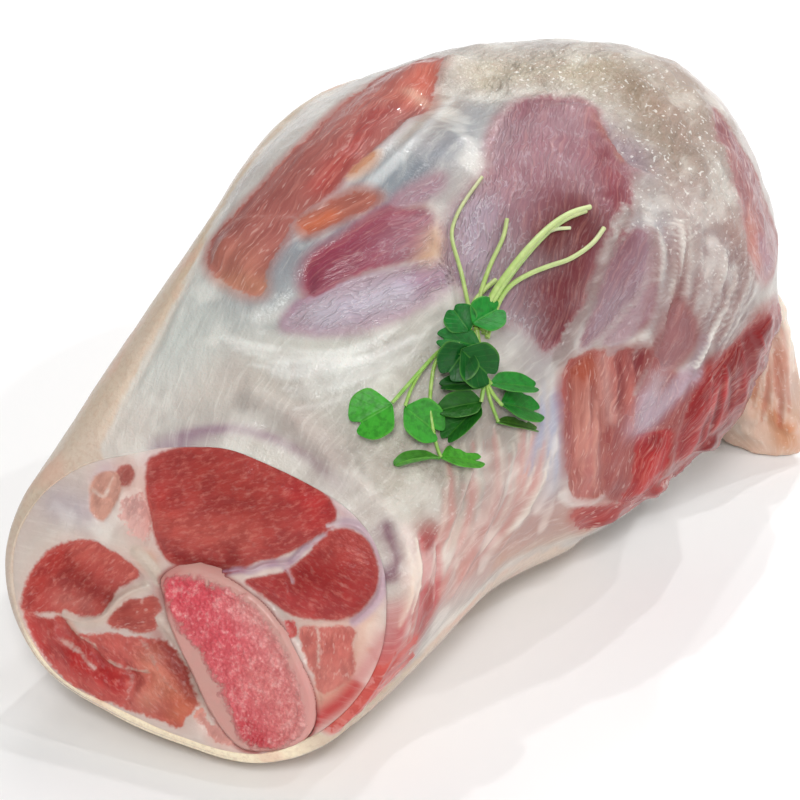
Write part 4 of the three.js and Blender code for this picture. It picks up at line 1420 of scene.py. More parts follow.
    PATCHES = (
        Patch("top_fat", ((520, 75), (600, 65), (660, 90), (695, 140), (715, 190)), 11, Quality.FAT, 1.0),
        Patch("fat_tongue", ((600, 130), (625, 150), (660, 150)), 8, Quality.FAT, 0.9),
        Patch("gap_head_fat", ((640, 215), (660, 225)), 6, Quality.FAT, 0.7),
        Patch("right_fat", ((735, 240), (725, 280)), 8, Quality.FAT, 0.5),
        Patch("middle_fat", ((400, 440), (440, 500)), 14, Quality.FAT, 0.25),
        Patch("mauve_top_veil", ((500, 130), (500, 190), (540, 150)), 6, Quality.VEIL, 0.34),
        Patch("mauve_left_veil", ((470, 215), (470, 260), (500, 250)), 7, Quality.VEIL, 0.7),
        Patch("mauve_middle_veil", ((560, 170), (590, 190)), 4, Quality.VEIL, 0.4),
        Patch("mauve_right_bare", ((595, 120), (606, 165), (612, 200)), 2.6, Quality.VEIL, 0.12),
        Patch("mauve_dark_bare", ((548, 240), (572, 225), (580, 260), (545, 300), (560, 325)), 5.5,
             Quality.VEIL, 0.04),
        Patch("mauve_foot_veil", ((500, 315), (520, 325)), 4, Quality.VEIL, 0.75),
        Patch("gap_foot_veil", ((615, 305), (600, 325)), 2.0, Quality.VEIL, 0.35),
        Patch("gap_head_bare", ((630, 240), (618, 275)), 2.4, Quality.VEIL, 0.12),
        Patch("strip_foot_veil", ((656, 385), (642, 420)), 2.6, Quality.VEIL, 0.55),
        Patch("purple_belly_bare", ((310, 280), (330, 262)), 3.0, Quality.VEIL, 0.05),
        Patch("purple_belly_end_veil", ((400, 250), (425, 245)), 3.0, Quality.VEIL, 0.35),
    )
    FOLDS = (
        Fold("fat_edge_step", ((590, 115), (612, 148), (628, 168), (655, 182)), 1.6, 1.3),
        Fold("fat_edge_groove", ((606, 128), (630, 152), (650, 166)), 2.4, -1.2),
        Fold("fat_hollow", ((665, 110), (690, 125)), 3.0, -1.4),
        Fold("cut_ridge", ((255, 398), (291, 418), (330, 462), (366, 492), (398, 526)), 2.0, 1.7),
        Fold("cut_ridge_groove", ((240, 412), (285, 436), (320, 474)), 2.4, -0.4),
        Fold("rim_groove", ((386, 528), (394, 542), (398, 560), (392, 576)), 1.3, -1.0),
        Fold("veiled_belly_head", ((268, 322), (290, 300), (304, 282)), 2.0, -1.3),
        Fold("veiled_belly_foot", ((262, 326), (300, 330), (340, 334)), 1.6, -0.7),
        Fold("grey_fascia_groove", ((298, 236), (340, 208), (385, 180), (430, 150)), 2.0, -0.5),
        Fold("gap_left_groove", ((600, 260), (580, 312), (560, 345)), 1.2, -0.5),
        Fold("gap_middle_groove", ((636, 262), (618, 316), (592, 346)), 1.4, -0.9),
        Fold("right_fascia_crest", ((700, 205), (698, 260), (706, 310), (698, 380)), 1.0, 0.6),
        Fold("right_fascia_left_crest", ((684, 215), (676, 262), (672, 300)), 1.2, 0.6),
        Fold("right_fascia_right_crest", ((716, 215), (722, 262), (716, 300)), 1.2, 0.5),
        Fold("right_fascia_groove", ((692, 235), (690, 280)), 1.2, -0.6),
        Fold("corner_crest", ((745, 285), (722, 335), (700, 388)), 1.6, 0.7),
        Fold("corner_groove", ((762, 292), (740, 330), (706, 360)), 1.4, -0.7),
        Fold("pad_left_groove", ((560, 352), (556, 400), (562, 450), (560, 500)), 1.5, -0.6),
        Fold("low_field_crest", ((520, 430), (500, 480), (480, 540), (452, 590)), 1.6, 1.0),
        Fold("low_field_groove", ((500, 420), (480, 470), (455, 530), (438, 590)), 1.6, -0.8),
        Fold("low_field_right_crest", ((545, 440), (530, 500), (500, 545)), 1.5, 0.7),
        Fold("low_field_left_crest", ((470, 470), (455, 505), (448, 535)), 1.2, 0.9),
        Fold("low_edge_groove", ((430, 520), (440, 560), (425, 620)), 1.6, -0.6),
        Fold("low_edge_crest", ((404, 540), (408, 580), (398, 620)), 1.8, 0.9),
        Fold("low_edge_near_groove", ((388, 530), (398, 570), (388, 620)), 1.2, -0.8),
        Fold("sawn_side_crest", ((205, 258), (186, 300), (160, 355), (130, 405)), 1.2, 0.4),
        Fold("mauve_left_crest", ((500, 205), (470, 235), (455, 270)), 2.0, 0.6),
        Fold("mauve_groove", ((520, 180), (500, 230), (485, 275)), 1.6, -0.5),
        Fold("belly_end_knob", ((430, 232), (436, 246), (428, 258)), 2.2, 1.2),
        Fold("red_corner_swell", ((776, 320), (768, 370), (748, 416)), 6.0, 3.4),
        Fold("top_tag", ((452, 66), (446, 76)), 3.0, 2.4),
        Fold("corner_tag", ((722, 450), (730, 446)), 1.6, 2.2),
        Fold("strip_foot_tag", ((655, 492), (664, 488)), 1.6, 1.8),
        Fold("pad_foot_tag", ((600, 522), (612, 518)), 1.6, 1.4),
        Fold("crown_tag", ((583, 46), (592, 46)), 2.2, 1.3),
        Fold("salmon_foot_tag", ((228, 246), (222, 256)), 1.6, 1.2),
    )
    HIDDEN = (
        Muscle("back_upper", ((-70, 66), (-30, 86), (20, 92), (66, 82), (70, 72), (24, 78), (-30, 72),
             (-66, 56)), (158, 84, 80), 4, 0.9, 0.15, 1.0, 0.4, View.BACK),
        Muscle("end_round", ((-30, 88), (-4, 96), (20, 88), (26, 72), (8, 62), (-20, 64), (-34, 74)),
             (152, 74, 76), 20, 1.5, 0.1, 1.0, 0.4, View.END),
        Muscle("end_far", ((24, 70), (40, 78), (52, 66), (48, 50), (32, 48), (20, 56)), (160, 72, 72), 60,
             1.4, 0.05, 1.0, 0.4, View.END),
        Muscle("end_near", ((-52, 70), (-38, 66), (-30, 52), (-40, 44), (-54, 50)), (164, 78, 78), 100, 1.2,
             0.05, 1.0, 0.4, View.END),
        Muscle("end_low", ((-24, 58), (0, 56), (18, 50), (10, 40), (-16, 38), (-30, 46)), (148, 62, 66), 5,
             1.3, 0.0, 1.0, 0.4, View.END),
        Strand("end_seam", ((-20, 60), (0, 58), (24, 54)), 2.4, (216, 200, 190), 0.6, view=View.END),
        Wash("end_fascia", ((-30, 60), (0, 60), (30, 60)), 20, (204, 184, 176), 0.5, view=View.END),
    )

    def build(self) -> tuple[bpy.types.Object, SurfaceTracer]:
        """Make the piece that stands for the hock.

        Returns:
            The finished piece, and a tracer on its surface for what lies on it.
        """
        share, angle = self.spacing()
        shares, angles = np.meshgrid(share, angle, indexing="ij")
        plain = self.form.outside(shares, angles)
        normals = grid_normals(plain)
        push = self.form.relief(plain.reshape(-1, 3)).reshape(shares.shape)
        plain = plain + normals * (push * smooth(shares, 0.0, 0.04))[..., None]
        normals = grid_normals(plain)
        tracer = SurfaceTracer(*self.coarse_copy(plain))

        canvas = Canvas(plain.reshape(-1, 3), normals.reshape(-1, 3), tracer, self.meat_tint,
                        self.fascia_tint)
        self.set_flow(canvas, shares, angles)
        canvas.add_all([mark for mark in self.WASHES if mark.layer is not Layer.MUSCLE])
        canvas.add_all(self.MUSCLES)
        canvas.add_all(self.HIDDEN)
        canvas.add_all([mark for mark in self.WASHES if mark.layer is not Layer.COVER])
        canvas.add_all(self.STRANDS)
        canvas.add_all(self.BUNDLES)
        canvas.add_all(self.PATCHES)
        canvas.add_all(self.FOLDS)
        self.add_rind(canvas, shares, angles)
        canvas.add_all(self.SKIN_MARKS)
        self.add_texture(canvas)

        fade = smooth(shares.ravel(), 0.0, 0.02)
        moved = canvas.points + canvas.normals * (canvas.rise * fade)[:, None]
        grid = self.round_rim(moved.reshape(plain.shape), share)
        points, faces = self.close(grid, angle)
        points[:, 2] = np.maximum(points[:, 2], 0.0)
        piece = make_piece("meat_body", points, faces, TissueFinish("raw_meat_and_rind").build())
        self.store(canvas, piece.data, len(angle))
        hand_in(piece, "meat", "hock")
        return piece, SurfaceTracer(points, faces)

    def spacing(self) -> tuple[Array, Array]:
        """Even steps along the surface, and angles that crowd on the side that the photo shows."""
        fine = np.linspace(0.0, 1.0, 1500)
        profile = self.form.outside(fine, np.full_like(fine, math.radians(self.profile_angle)))
        run = np.concatenate([[0.0], np.cumsum(np.linalg.norm(np.diff(profile, axis=0), axis=1))])
        ends = np.linspace(0.0, run[-1], self.rings + 1)[:-1]
        share = np.interp(ends, run, fine)
        turns = np.linspace(-math.pi, math.pi, 2001)
        crowd = 1.0 + self.seen_crowding * np.exp(-((turns / math.radians(self.crowding_width)) ** 4))
        amount = np.concatenate([[0.0], np.cumsum((crowd[1:] + crowd[:-1]) / 2)])
        wanted = np.linspace(0.0, amount[-1], self.sides + 1)[:-1]
        angle = np.interp(wanted, amount, turns) + math.radians(self.seen_angle)
        return share, angle

    def coarse_copy(self, grid: Array) -> tuple[Array, list[tuple[int, ...]]]:
        """A closed copy of the surface with fewer rings and sides."""
        few = grid[::self.tracer_step, ::self.tracer_step]
        points = np.vstack([few[0].mean(axis=0), few.reshape(-1, 3), few[-1].mean(axis=0)])
        return points, ring_faces(few.shape[0], few.shape[1])

    def set_flow(self, canvas: Canvas, shares: Array, angles: Array) -> None:
        """Lay streaks of the fascia along the spine; they meet under the hock."""
        around = (angles + math.pi / 2) % (2 * math.pi)
        canvas.flow[:, 0] = canvas.points[:, 0]
        canvas.flow[:, 1] = around.ravel() * self.rind_radius
        canvas.flow[:, 1] += Texture.FASCIA_DRIFT.at(canvas.points) * 5.0
        canvas.flow[:, 1] += Texture.FASCIA_WAVES.at(canvas.points) * 1.2
        canvas.grain[:] = canvas.flow

    def rind_depth(self, canvas: Canvas, shares: Array, angles: Array) -> Array:
        """How far inside the rind's edge each point lies, in mm."""
        far = np.radians(self.form.along(self.rind_turn_far, shares.ravel())) + 2 * math.pi
        near = np.radians(self.form.along(self.rind_turn_near, shares.ravel()))
        turn = angles.ravel() % (2 * math.pi)
        turn = np.where(turn < math.radians(self.rind_wrap), turn + 2 * math.pi, turn)
        depth = ((far - near) / 2 - np.abs(turn - (far + near) / 2)) * self.rind_radius
        depth = depth + 2.2 * Texture.RIND_EDGE.at(canvas.points)
        return depth + 1.1 * Texture.RIND_EDGE_NICKS.at(canvas.points)

    def add_rind(self, canvas: Canvas, shares: Array, angles: Array) -> None:
        """Wrap the rind round the underside and the far side, with white fat along its edge."""
        depth = self.rind_depth(canvas, shares, angles)
        skin = smooth(depth, -0.4, 0.4)
        canvas.window = np.minimum(canvas.window, -depth - 1.6)
        canvas.blend(canvas.cover, linear(self.edge_fat_tint), 0.8 * bell(depth + 1.2, 1.2))
        tone = np.clip(0.5 + 0.5 * Texture.RIND_TONE.at(canvas.points), 0.0, 1.0)[:, None]
        brown, pale = self.rind_tints
        rind = linear(brown) * (1 - tone) + linear(pale) * tone
        canvas.cover += (rind - canvas.cover) * skin[:, None]
        canvas.skin = np.maximum(canvas.skin, skin)
        canvas.fat *= 1.0 - skin
        canvas.rise += self.rind_step * smooth(depth, -1.5, 2.5) - 0.3 * bell(depth + 2.0, 1.6)

    def add_texture(self, canvas: Canvas) -> None:
        """Fine unevenness: lumps on fat, low waves on fascia and meat, and soft creases in the rind."""
        points = canvas.points
        lumps = Texture.FAT_LUMPS.at(points)
        drawn_out = np.stack([canvas.flow[:, 0] * 0.25, canvas.flow[:, 1], points[:, 2]], 1)
        waves = Texture.FASCIA_RIPPLES.at(drawn_out)
        coarse = Texture.HOLLOWS.at(points)
        bare = smooth(canvas.window, -0.5, 0.5)
        fat = np.clip(canvas.fat, 0.0, 1.0)
        soft = np.clip(1.0 - canvas.skin, 0.0, 1.0)
        small = Texture.FAT_GRAINS.at(points)
        canvas.grain[:, 1] += Texture.FIBRE_WAVES.at(points) * 0.7
        canvas.rise += (0.9 * lumps + 0.6 * small) * fat * soft
        canvas.rise += 0.26 * waves * soft * (1 - 0.5 * bare) + 0.6 * coarse + 0.28 * lumps * soft
        canvas.rise += 0.12 * lumps * (1.0 - soft)

    def lip_radius(self, angle: Array) -> Array:
        """Where the lip of fat round the sawn face ends, in mm from the face's middle."""
        middle, _, _, across, up = self.form.section(np.zeros(1))
        direction = np.cos(angle)[:, None] * across[0] + np.sin(angle)[:, None] * up[0]
        wobble = 0.5 * Texture.LIP_EDGE.at(middle[0] + direction * 30.0)
        return self.form.cut_radius(angle) - self.lip - wobble

    def round_rim(self, grid: Array, share: Array) -> Array:
        """Round the outside over towards the sawn face."""
        middle, _, _, across, up = self.form.section(np.zeros(1))
        outward = -np.cross(across[0], up[0])
        out = grid.copy()
        for ring in range(len(share)):
            depth = share[ring] * self.form.spine_length
            if depth >= self.rim_rounding:
                break
            part = 1.0 - depth / self.rim_rounding
            inset = self.rim_rounding * (1.0 - math.sqrt(max(1.0 - part ** 2, 0.0)))
            offset = grid[ring] - middle[0]
            level = (offset @ outward)[:, None] * outward
            flat = offset - level
            length = np.linalg.norm(flat, axis=1, keepdims=True)
            out[ring] = middle[0] + level + flat * (1.0 - inset / length)
        return out

    def close(self, grid: Array, angle: Array) -> tuple[Array, list[tuple[int, ...]]]:
        """Close both ends: a lip round the sawn face, a sunk floor behind it, and the far tip."""
        middle, _, _, across, up = self.form.section(np.zeros(1))
        middle, across, up = middle[0], across[0], up[0]
        outward = -np.cross(across, up)
        direction = np.cos(angle)[:, None] * across + np.sin(angle)[:, None] * up
        inner = self.lip_radius(angle)
        outer = self.form.cut_radius(angle) - self.rim_rounding
        floor = [(inner * share, -self.cap_depth) for share in self.FLOOR_SHARES]
        lip = [(inner * share + outer * (1.0 - share), level) for share, level in self.LIP_STEPS]
        rings = [middle + direction * reach[:, None] + outward * level for reach, level in floor + lip]
        self.front_rings = len(rings)
        stacked = np.concatenate([np.array(rings), grid])
        tip = self.form.section(np.ones(1))[0][0]
        points = np.vstack([middle - outward * self.cap_depth, stacked.reshape(-1, 3), tip])
        return points, ring_faces(stacked.shape[0], stacked.shape[1])

    def store(self, canvas: Canvas, mesh: bpy.types.Mesh, sides: int) -> None:
        """Write the painting to the whole mesh; the lip takes over the paint of the first ring."""
        count = len(mesh.vertices)
        front = 1 + self.front_rings * sides
        source = np.zeros(count, int)
        source[front:count - 1] = np.arange(len(canvas.points))
        source[count - 1] = len(canvas.points) - 1
        for ring in range(self.front_rings):
            start = 1 + ring * sides
            source[start:start + sides] = np.arange(sides)
        canvas.store_from(mesh, source)


# ---------------------------------------------------------------- the sawn end


@dataclass(frozen=True)
class CutPlane:
    """The plane of the sawn end; sizes in mm."""

    form: HockForm

    def frame(self) -> tuple[Array, Array, Array, Array]:
        """Middle, across, up and outward."""
        middle, _, _, across, up = self.form.section(np.zeros(1))
        return middle[0], across[0], up[0], -np.cross(across[0], up[0])

    def points(self, flat: Array, level: Array) -> Array:
        """Points in space from places on the plane and heights over it."""
        middle, across, up, outward = self.frame()
        return middle + flat[..., :1] * across + flat[..., 1:2] * up + np.asarray(level)[..., None] * outward

    def flat(self, points: Array) -> Array:
        """Places on the plane, across and up, of points in space."""
        middle, across, up, _ = self.frame()
        return np.stack([(points - middle) @ across, (points - middle) @ up], axis=-1)

    def trace(self, view: View, place: Sequence[float]) -> Array:
        """The point of the plane behind a picture place."""
        middle, _, _, outward = self.frame()
        start, direction = view.value.line(place)
        return start + direction * (((middle - start) @ outward) / (direction @ outward))


@dataclass(frozen=True)
class Outline:
    """A closed outline on the sawn end, drawn in the photo's pixels, as a radius round its middle."""

    plane: CutPlane
    border: Path

    def polar(self) -> tuple[Array, Array, Array]:
        """Its middle on the plane, and angles with their radii in mm."""
        traced = np.array([self.plane.trace(View.PHOTO, place) for place in smooth_path(self.border, True)])
        flat = self.plane.flat(traced)
        middle = flat.mean(axis=0)
        offset = flat - middle
        angle = np.arctan2(offset[:, 1], offset[:, 0])
        order = np.argsort(angle)
        return middle, angle[order], np.linalg.norm(offset, axis=1)[order]

    def radius(self, angle: Array) -> Array:
        """Radii at angles in radians."""
        _, angles, radii = self.polar()
        return np.interp((angle + math.pi) % (2 * math.pi) - math.pi, angles, radii, period=2 * math.pi)

    def depth(self, flat: Array) -> Array:
        """How far inside the outline places on the plane lie, roughly in mm."""
        offset = flat - self.polar()[0]
        return self.radius(np.arctan2(offset[..., 1], offset[..., 0])) - np.linalg.norm(offset, axis=-1)


BONE_BORDER: Path = ((161, 578), (180, 566), (205, 570), (230, 580), (250, 593), (265, 606), (280, 625),
                     (292, 645), (303, 668), (312, 692), (316, 715), (310, 735), (290, 748), (262, 752),
                     (240, 748), (222, 730), (210, 712), (200, 692), (190, 670), (178, 645), (168, 620),
                     (163, 595))


@dataclass
class SawnFace:
    """The flat face of cut muscles, septa and fat at the sawn end; sizes in mm."""

    body: MeatBody
    sides: int = 480
    rings: int = 92
    under_lip: float = 0.35
    depth: float = 2.6
    bone_recess: float = 2.4
    meat_tint: Tint = (170, 76, 72)
    fat_tint: Tint = (218, 202, 192)
    bone_edge_tint: Tint = (150, 48, 46)

    MUSCLES = (
        Muscle("front_top", ((147, 462), (163, 452), (189, 445), (217, 444), (246, 450), (271, 460),
             (295, 472), (317, 488), (332, 501), (337, 516), (328, 532), (306, 545), (280, 557), (255, 563),
             (238, 571), (218, 575), (195, 568), (172, 564), (156, 546), (149, 518), (145, 490)),
             (172, 79, 75), 15, 0.9, 0, 0.25, 0.07),
        Muscle("front_right", ((322, 537), (332, 530), (346, 528), (359, 533), (368, 542), (376, 558),
             (378, 576), (374, 593), (365, 606), (353, 616), (337, 621), (318, 620), (299, 617), (284, 611),
             (270, 602), (254, 590), (244, 581), (258, 577), (282, 572), (299, 561), (311, 549)),
             (168, 71, 69), 150, 1.0, 0, 0.25, 0.07),
        Muscle("left", ((22, 610), (23, 593), (29, 575), (39, 560), (52, 548), (70, 541), (90, 540),
             (108, 548), (123, 558), (136, 568), (139, 577), (128, 584), (114, 593), (104, 612), (92, 617),
             (64, 613), (40, 614)), (184, 88, 82), 40, 0.8, 0, 0.4, 0.14),
        Muscle("left_small", ((139, 599), (153, 596), (159, 605), (161, 618), (155, 630), (143, 633),
             (127, 631), (110, 626), (107, 621), (114, 611), (127, 600)), (176, 92, 84), 10, 0.8, 0, 0.5,
             0.3),
        Muscle("low_mass", ((24, 614), (44, 617), (60, 617), (66, 627), (82, 634), (108, 633), (132, 637),
             (158, 639), (172, 645), (185, 664), (196, 681), (206, 698), (197, 706), (186, 718), (180, 728),
             (162, 722), (140, 713), (110, 703), (80, 690), (55, 669), (38, 649), (28, 630)), (190, 92, 86),
             130, 0.9, 0, 0.5, 0.12),
        Muscle("pale_right", ((298, 628), (318, 627), (342, 626), (355, 630), (353, 645), (356, 664),
             (350, 678), (333, 690), (319, 693), (311, 676), (304, 655)), (206, 128, 118), 80, 0.7, 0, 0.5,
             0.35),
        Muscle("pale_top", ((92, 480), (106, 471), (119, 475), (121, 490), (113, 508), (102, 522),
             (90, 508)), (200, 152, 136), 60, 0.6, 0.0, 0.2, 0.1),
        Muscle("brown_spot", ((116, 470), (128, 464), (134, 474), (128, 486), (118, 484)), (176, 104, 96),
             60, 0.3, 0.0, 0.3, 0.1),
        Muscle("veined_fat", ((122, 500), (138, 494), (148, 508), (152, 532), (142, 544), (128, 530)),
             (216, 172, 164), 60, 0.3, 0.0, 1.2, 0.3),
        Muscle("pink_patch", ((285, 624), (294, 622), (297, 630), (290, 637)), (206, 90, 94), 60, 0.1),
        Muscle("fat_corner", ((196, 716), (208, 712), (218, 728), (232, 744), (212, 738)), (218, 160, 150),
             60, 0.1, 0.0, 1.0, 0.3),
    )
    STRANDS = (
        Strand("top_right_septum", ((222, 572), (240, 569), (252, 570), (266, 564), (288, 562), (297, 555),
             (303, 548), (314, 541), (326, 534)), 0.8, (168, 138, 160), 0.7, 0.7),
        Strand("septum_spur", ((284, 562), (288, 572), (293, 582)), 0.9, (186, 160, 172), 0.4, 0.4),
        Strand("right_outer_septum", ((328, 526), (345, 522), (362, 528), (374, 542), (384, 566),
             (381, 590), (372, 606), (354, 622)), 1.1, (200, 178, 188), 0.8, 1.0),
        Strand("left_septum", ((146, 586), (130, 592), (118, 600), (108, 612), (98, 619), (80, 621),
             (64, 616)), 1.3, (214, 198, 184), 0.7, 2.4),
        Strand("low_crack_line", ((66, 622), (78, 635), (93, 643), (104, 656), (124, 668), (148, 671)), 0.5,
             (208, 170, 152), 0.5, 0.3),
        Strand("low_vein_right", ((140, 640), (152, 654), (164, 678), (182, 694)), 0.3, (200, 150, 136),
             0.3, 0.2),
        Strand("low_vein_foot", ((120, 664), (132, 680), (126, 700)), 0.3, (204, 150, 140), 0.3, 0.2),
        Strand("low_vein_left", ((62, 640), (80, 652), (96, 668)), 0.3, (206, 156, 144), 0.3, 0.2),
        Strand("low_bone_septum", ((160, 618), (172, 640), (188, 664), (200, 692), (214, 718)), 2.6,
             (216, 196, 182), 0.5, 3.6),
        Strand("pale_right_vein", ((316, 628), (319, 646), (318, 666)), 0.6, (222, 196, 182), 0.2, 0.4),
        Strand("pale_top_vein", ((92, 490), (104, 496), (112, 478)), 0.6, (222, 196, 182), 0.2, 0.4),
        Strand("top_left_septum", ((136, 552), (150, 566), (160, 580)), 2.2, (214, 196, 180), 0.4, 2.0),
    )
    WASHES = (
        Wash("left_rim_fat", ((20, 600), (48, 545), (84, 530), (122, 545)), 3.0, (222, 210, 198), 0.9),
        Wash("upper_left_fat", ((60, 505), (75, 509), (88, 512)), 3.2, (198, 186, 190), 0.9),
        Wash("pale_top_edge", ((107, 474), (104, 480)), 2.0, (190, 172, 186), 0.8),
        Wash("top_left_fat", ((130, 480), (138, 520), (144, 560)), 3.2, (220, 192, 180), 0.8),
        Wash("top_rim_fat", ((150, 455), (200, 436), (250, 442), (300, 466), (335, 496)), 2.6,
             (222, 208, 204), 0.9),
        Wash("right_rim_fat", ((340, 505), (375, 525), (392, 560), (388, 590)), 3.0, (206, 178, 182), 0.8),
        # painted shade: the groove at the face's right rim is washed dark purple
        Wash("rim_groove_shade", ((384, 524), (394, 552), (392, 580)), 1.2, (84, 34, 62)),
        Wash("pale_right_rim", ((300, 622), (350, 624), (372, 606)), 2.0, (222, 190, 176), 0.8),
        Wash("low_right_fat", ((322, 700), (345, 684), (362, 655), (368, 630)), 2.2, (224, 176, 150), 0.8),
        Wash("low_right_red", ((316, 720), (345, 698), (368, 666), (384, 640)), 1.8, (190, 62, 62), 0.95),
        Wash("orange_dot", ((146, 560), (148, 562)), 1.4, (214, 140, 92), 0.8),
        Wash("bone_side_red", ((160, 585), (156, 640), (186, 680)), 1.4, (170, 70, 62), 0.5),
        Wash("foot_fat", ((205, 722), (228, 744), (250, 756)), 2.4, (222, 190, 178), 0.8),
        Wash("front_top_left_red", ((160, 500), (170, 520)), 2.4, (188, 64, 62), 0.6, Layer.MUSCLE),
        Wash("front_top_right_red", ((300, 492), (324, 512), (320, 526)), 2.8, (186, 66, 66), 0.7,
             Layer.MUSCLE),
        Wash("front_top_brown", ((210, 480), (250, 500)), 5.0, (156, 66, 60), 0.6, Layer.MUSCLE),
        Wash("front_top_light", ((160, 520), (200, 532), (246, 536)), 2.6, (190, 100, 90), 0.6,
             Layer.MUSCLE),
        Wash("front_top_foot_dark", ((232, 556), (222, 568), (200, 564), (180, 560)), 1.8, (118, 44, 44),
             0.7, Layer.MUSCLE),
        Wash("front_right_light", ((330, 545), (352, 545), (366, 560)), 2.4, (186, 88, 82), 0.7,
             Layer.MUSCLE),
        Wash("front_right_foot_light", ((262, 588), (290, 598), (330, 612)), 2.2, (182, 78, 78), 0.5,
             Layer.MUSCLE),
        Wash("front_right_dark", ((300, 575), (340, 580)), 3.4, (152, 54, 52), 0.6, Layer.MUSCLE),
        Wash("left_dark", ((70, 570), (90, 590), (110, 600)), 3.0, (140, 60, 56), 0.8, Layer.MUSCLE),
        Wash("left_edge_red", ((34, 600), (40, 575), (60, 555)), 2.2, (176, 66, 62), 0.6, Layer.MUSCLE),
        Wash("left_top_light", ((80, 550), (110, 560), (126, 572)), 2.0, (196, 104, 94), 0.7, Layer.MUSCLE),
        Wash("left_foot_light", ((60, 600), (85, 606)), 1.6, (192, 116, 106), 0.6, Layer.MUSCLE),
        Wash("low_foot_orange", ((170, 690), (190, 700), (176, 714)), 2.4, (206, 122, 92), 0.7,
             Layer.MUSCLE),
        Wash("low_left_light", ((34, 630), (48, 648), (60, 662)), 2.6, (196, 104, 100), 0.7, Layer.MUSCLE),
        Wash("low_top_light", ((84, 640), (112, 646), (132, 650)), 2.2, (196, 106, 98), 0.8, Layer.MUSCLE),
        Wash("low_foot_light", ((90, 668), (120, 690), (140, 700)), 2.6, (200, 120, 112), 0.8,
             Layer.MUSCLE),
        Wash("low_crack_dark", ((44, 620), (70, 650), (84, 672)), 1.6, (158, 60, 58), 0.6, Layer.MUSCLE),
        Wash("low_bone_side_dark", ((160, 646), (176, 668), (194, 692)), 2.0, (128, 42, 40), 0.8,
             Layer.MUSCLE),
        Wash("low_right_light", ((150, 660), (160, 684), (148, 700)), 2.4, (204, 132, 112), 0.8,
             Layer.MUSCLE),
        Wash("low_middle_red", ((80, 656), (100, 670), (118, 684)), 3.0, (180, 54, 54), 0.9, Layer.MUSCLE),
        Wash("low_left_red", ((30, 630), (44, 652)), 2.0, (186, 70, 68), 0.8, Layer.MUSCLE),
        Wash("pale_right_shade", ((300, 640), (330, 650), (344, 640)), 3.0, (196, 108, 100), 0.7,
             Layer.MUSCLE),
    )
    FOLDS = (
        Fold("low_bone_crack", ((162, 636), (176, 650), (188, 668), (198, 690), (206, 704)), 1.2, -1.6),
        Fold("low_mass_crack", ((62, 624), (74, 640), (92, 650), (104, 664), (126, 674), (150, 676)), 1.0,
             -1.1),
        Fold("low_mass_upper_swell", ((84, 636), (108, 642), (134, 650), (150, 664)), 1.8, 1.0),
        Fold("low_mass_lower_swell", ((70, 660), (92, 676), (116, 690)), 1.8, 0.9),
        Fold("low_mass_foot_groove", ((128, 668), (136, 682), (128, 700)), 0.9, -0.9),
        Fold("low_mass_foot_swell", ((140, 690), (164, 700), (186, 702)), 1.6, 0.9),
        Fold("low_mass_edge_groove", ((30, 626), (44, 646), (62, 664)), 1.4, -0.6),
        Fold("rim_groove", ((380, 522), (392, 548), (392, 582)), 1.3, -1.6),
        Fold("front_top_foot_groove", ((234, 560), (220, 569), (200, 565)), 0.9, -0.8),
        Fold("top_right_groove", ((238, 566), (268, 560), (298, 548), (318, 535)), 0.9, -0.5),
        Fold("left_groove", ((138, 578), (124, 586), (106, 600)), 0.8, -0.8),
        Fold("top_left_groove", ((144, 470), (146, 510), (158, 552)), 0.9, -0.5),
        Fold("upper_left_swell", ((60, 505), (75, 509), (90, 512)), 2.2, 0.5),
        Fold("bone_left_groove", ((162, 590), (166, 622), (182, 656), (204, 700)), 0.7, -0.9),
        Fold("bone_right_groove", ((262, 594), (284, 620), (304, 656), (318, 700)), 0.7, -0.7),
    )

    def build(self) -> bpy.types.Object:
        """Make the face.

        Returns:
            The finished piece.
        """
        plane = CutPlane(self.body.form)
        angle = np.linspace(0.0, 2 * math.pi, self.sides, endpoint=False)
        share = np.linspace(0.0, 1.0, self.rings + 1)[1:]
        edge = self.body.form.cut_radius(angle) - 0.5 * self.body.rim_rounding
        flat = np.stack([np.cos(angle), np.sin(angle)], -1) * (edge * share[:, None])[..., None]
        inner = self.body.lip_radius(angle)
        under = smooth(edge * share[:, None] - inner, -0.6, 1.0)
        level = np.zeros(flat.shape[:2])
        points = plane.points(flat, level).reshape(-1, 3)
        normals = np.tile(plane.frame()[3], (len(points), 1))

        canvas = Canvas(points, normals, plane.trace, self.meat_tint, self.fat_tint)
        canvas.flow[:] = flat.reshape(-1, 2)
        canvas.grain[:] = canvas.flow
        canvas.add_all([mark for mark in self.WASHES if mark.layer is Layer.COVER])
        canvas.add_all(self.MUSCLES)
        canvas.add_all([mark for mark in self.WASHES if mark.layer is Layer.MUSCLE])
        canvas.add_all(self.STRANDS)
        canvas.add_all(self.FOLDS)

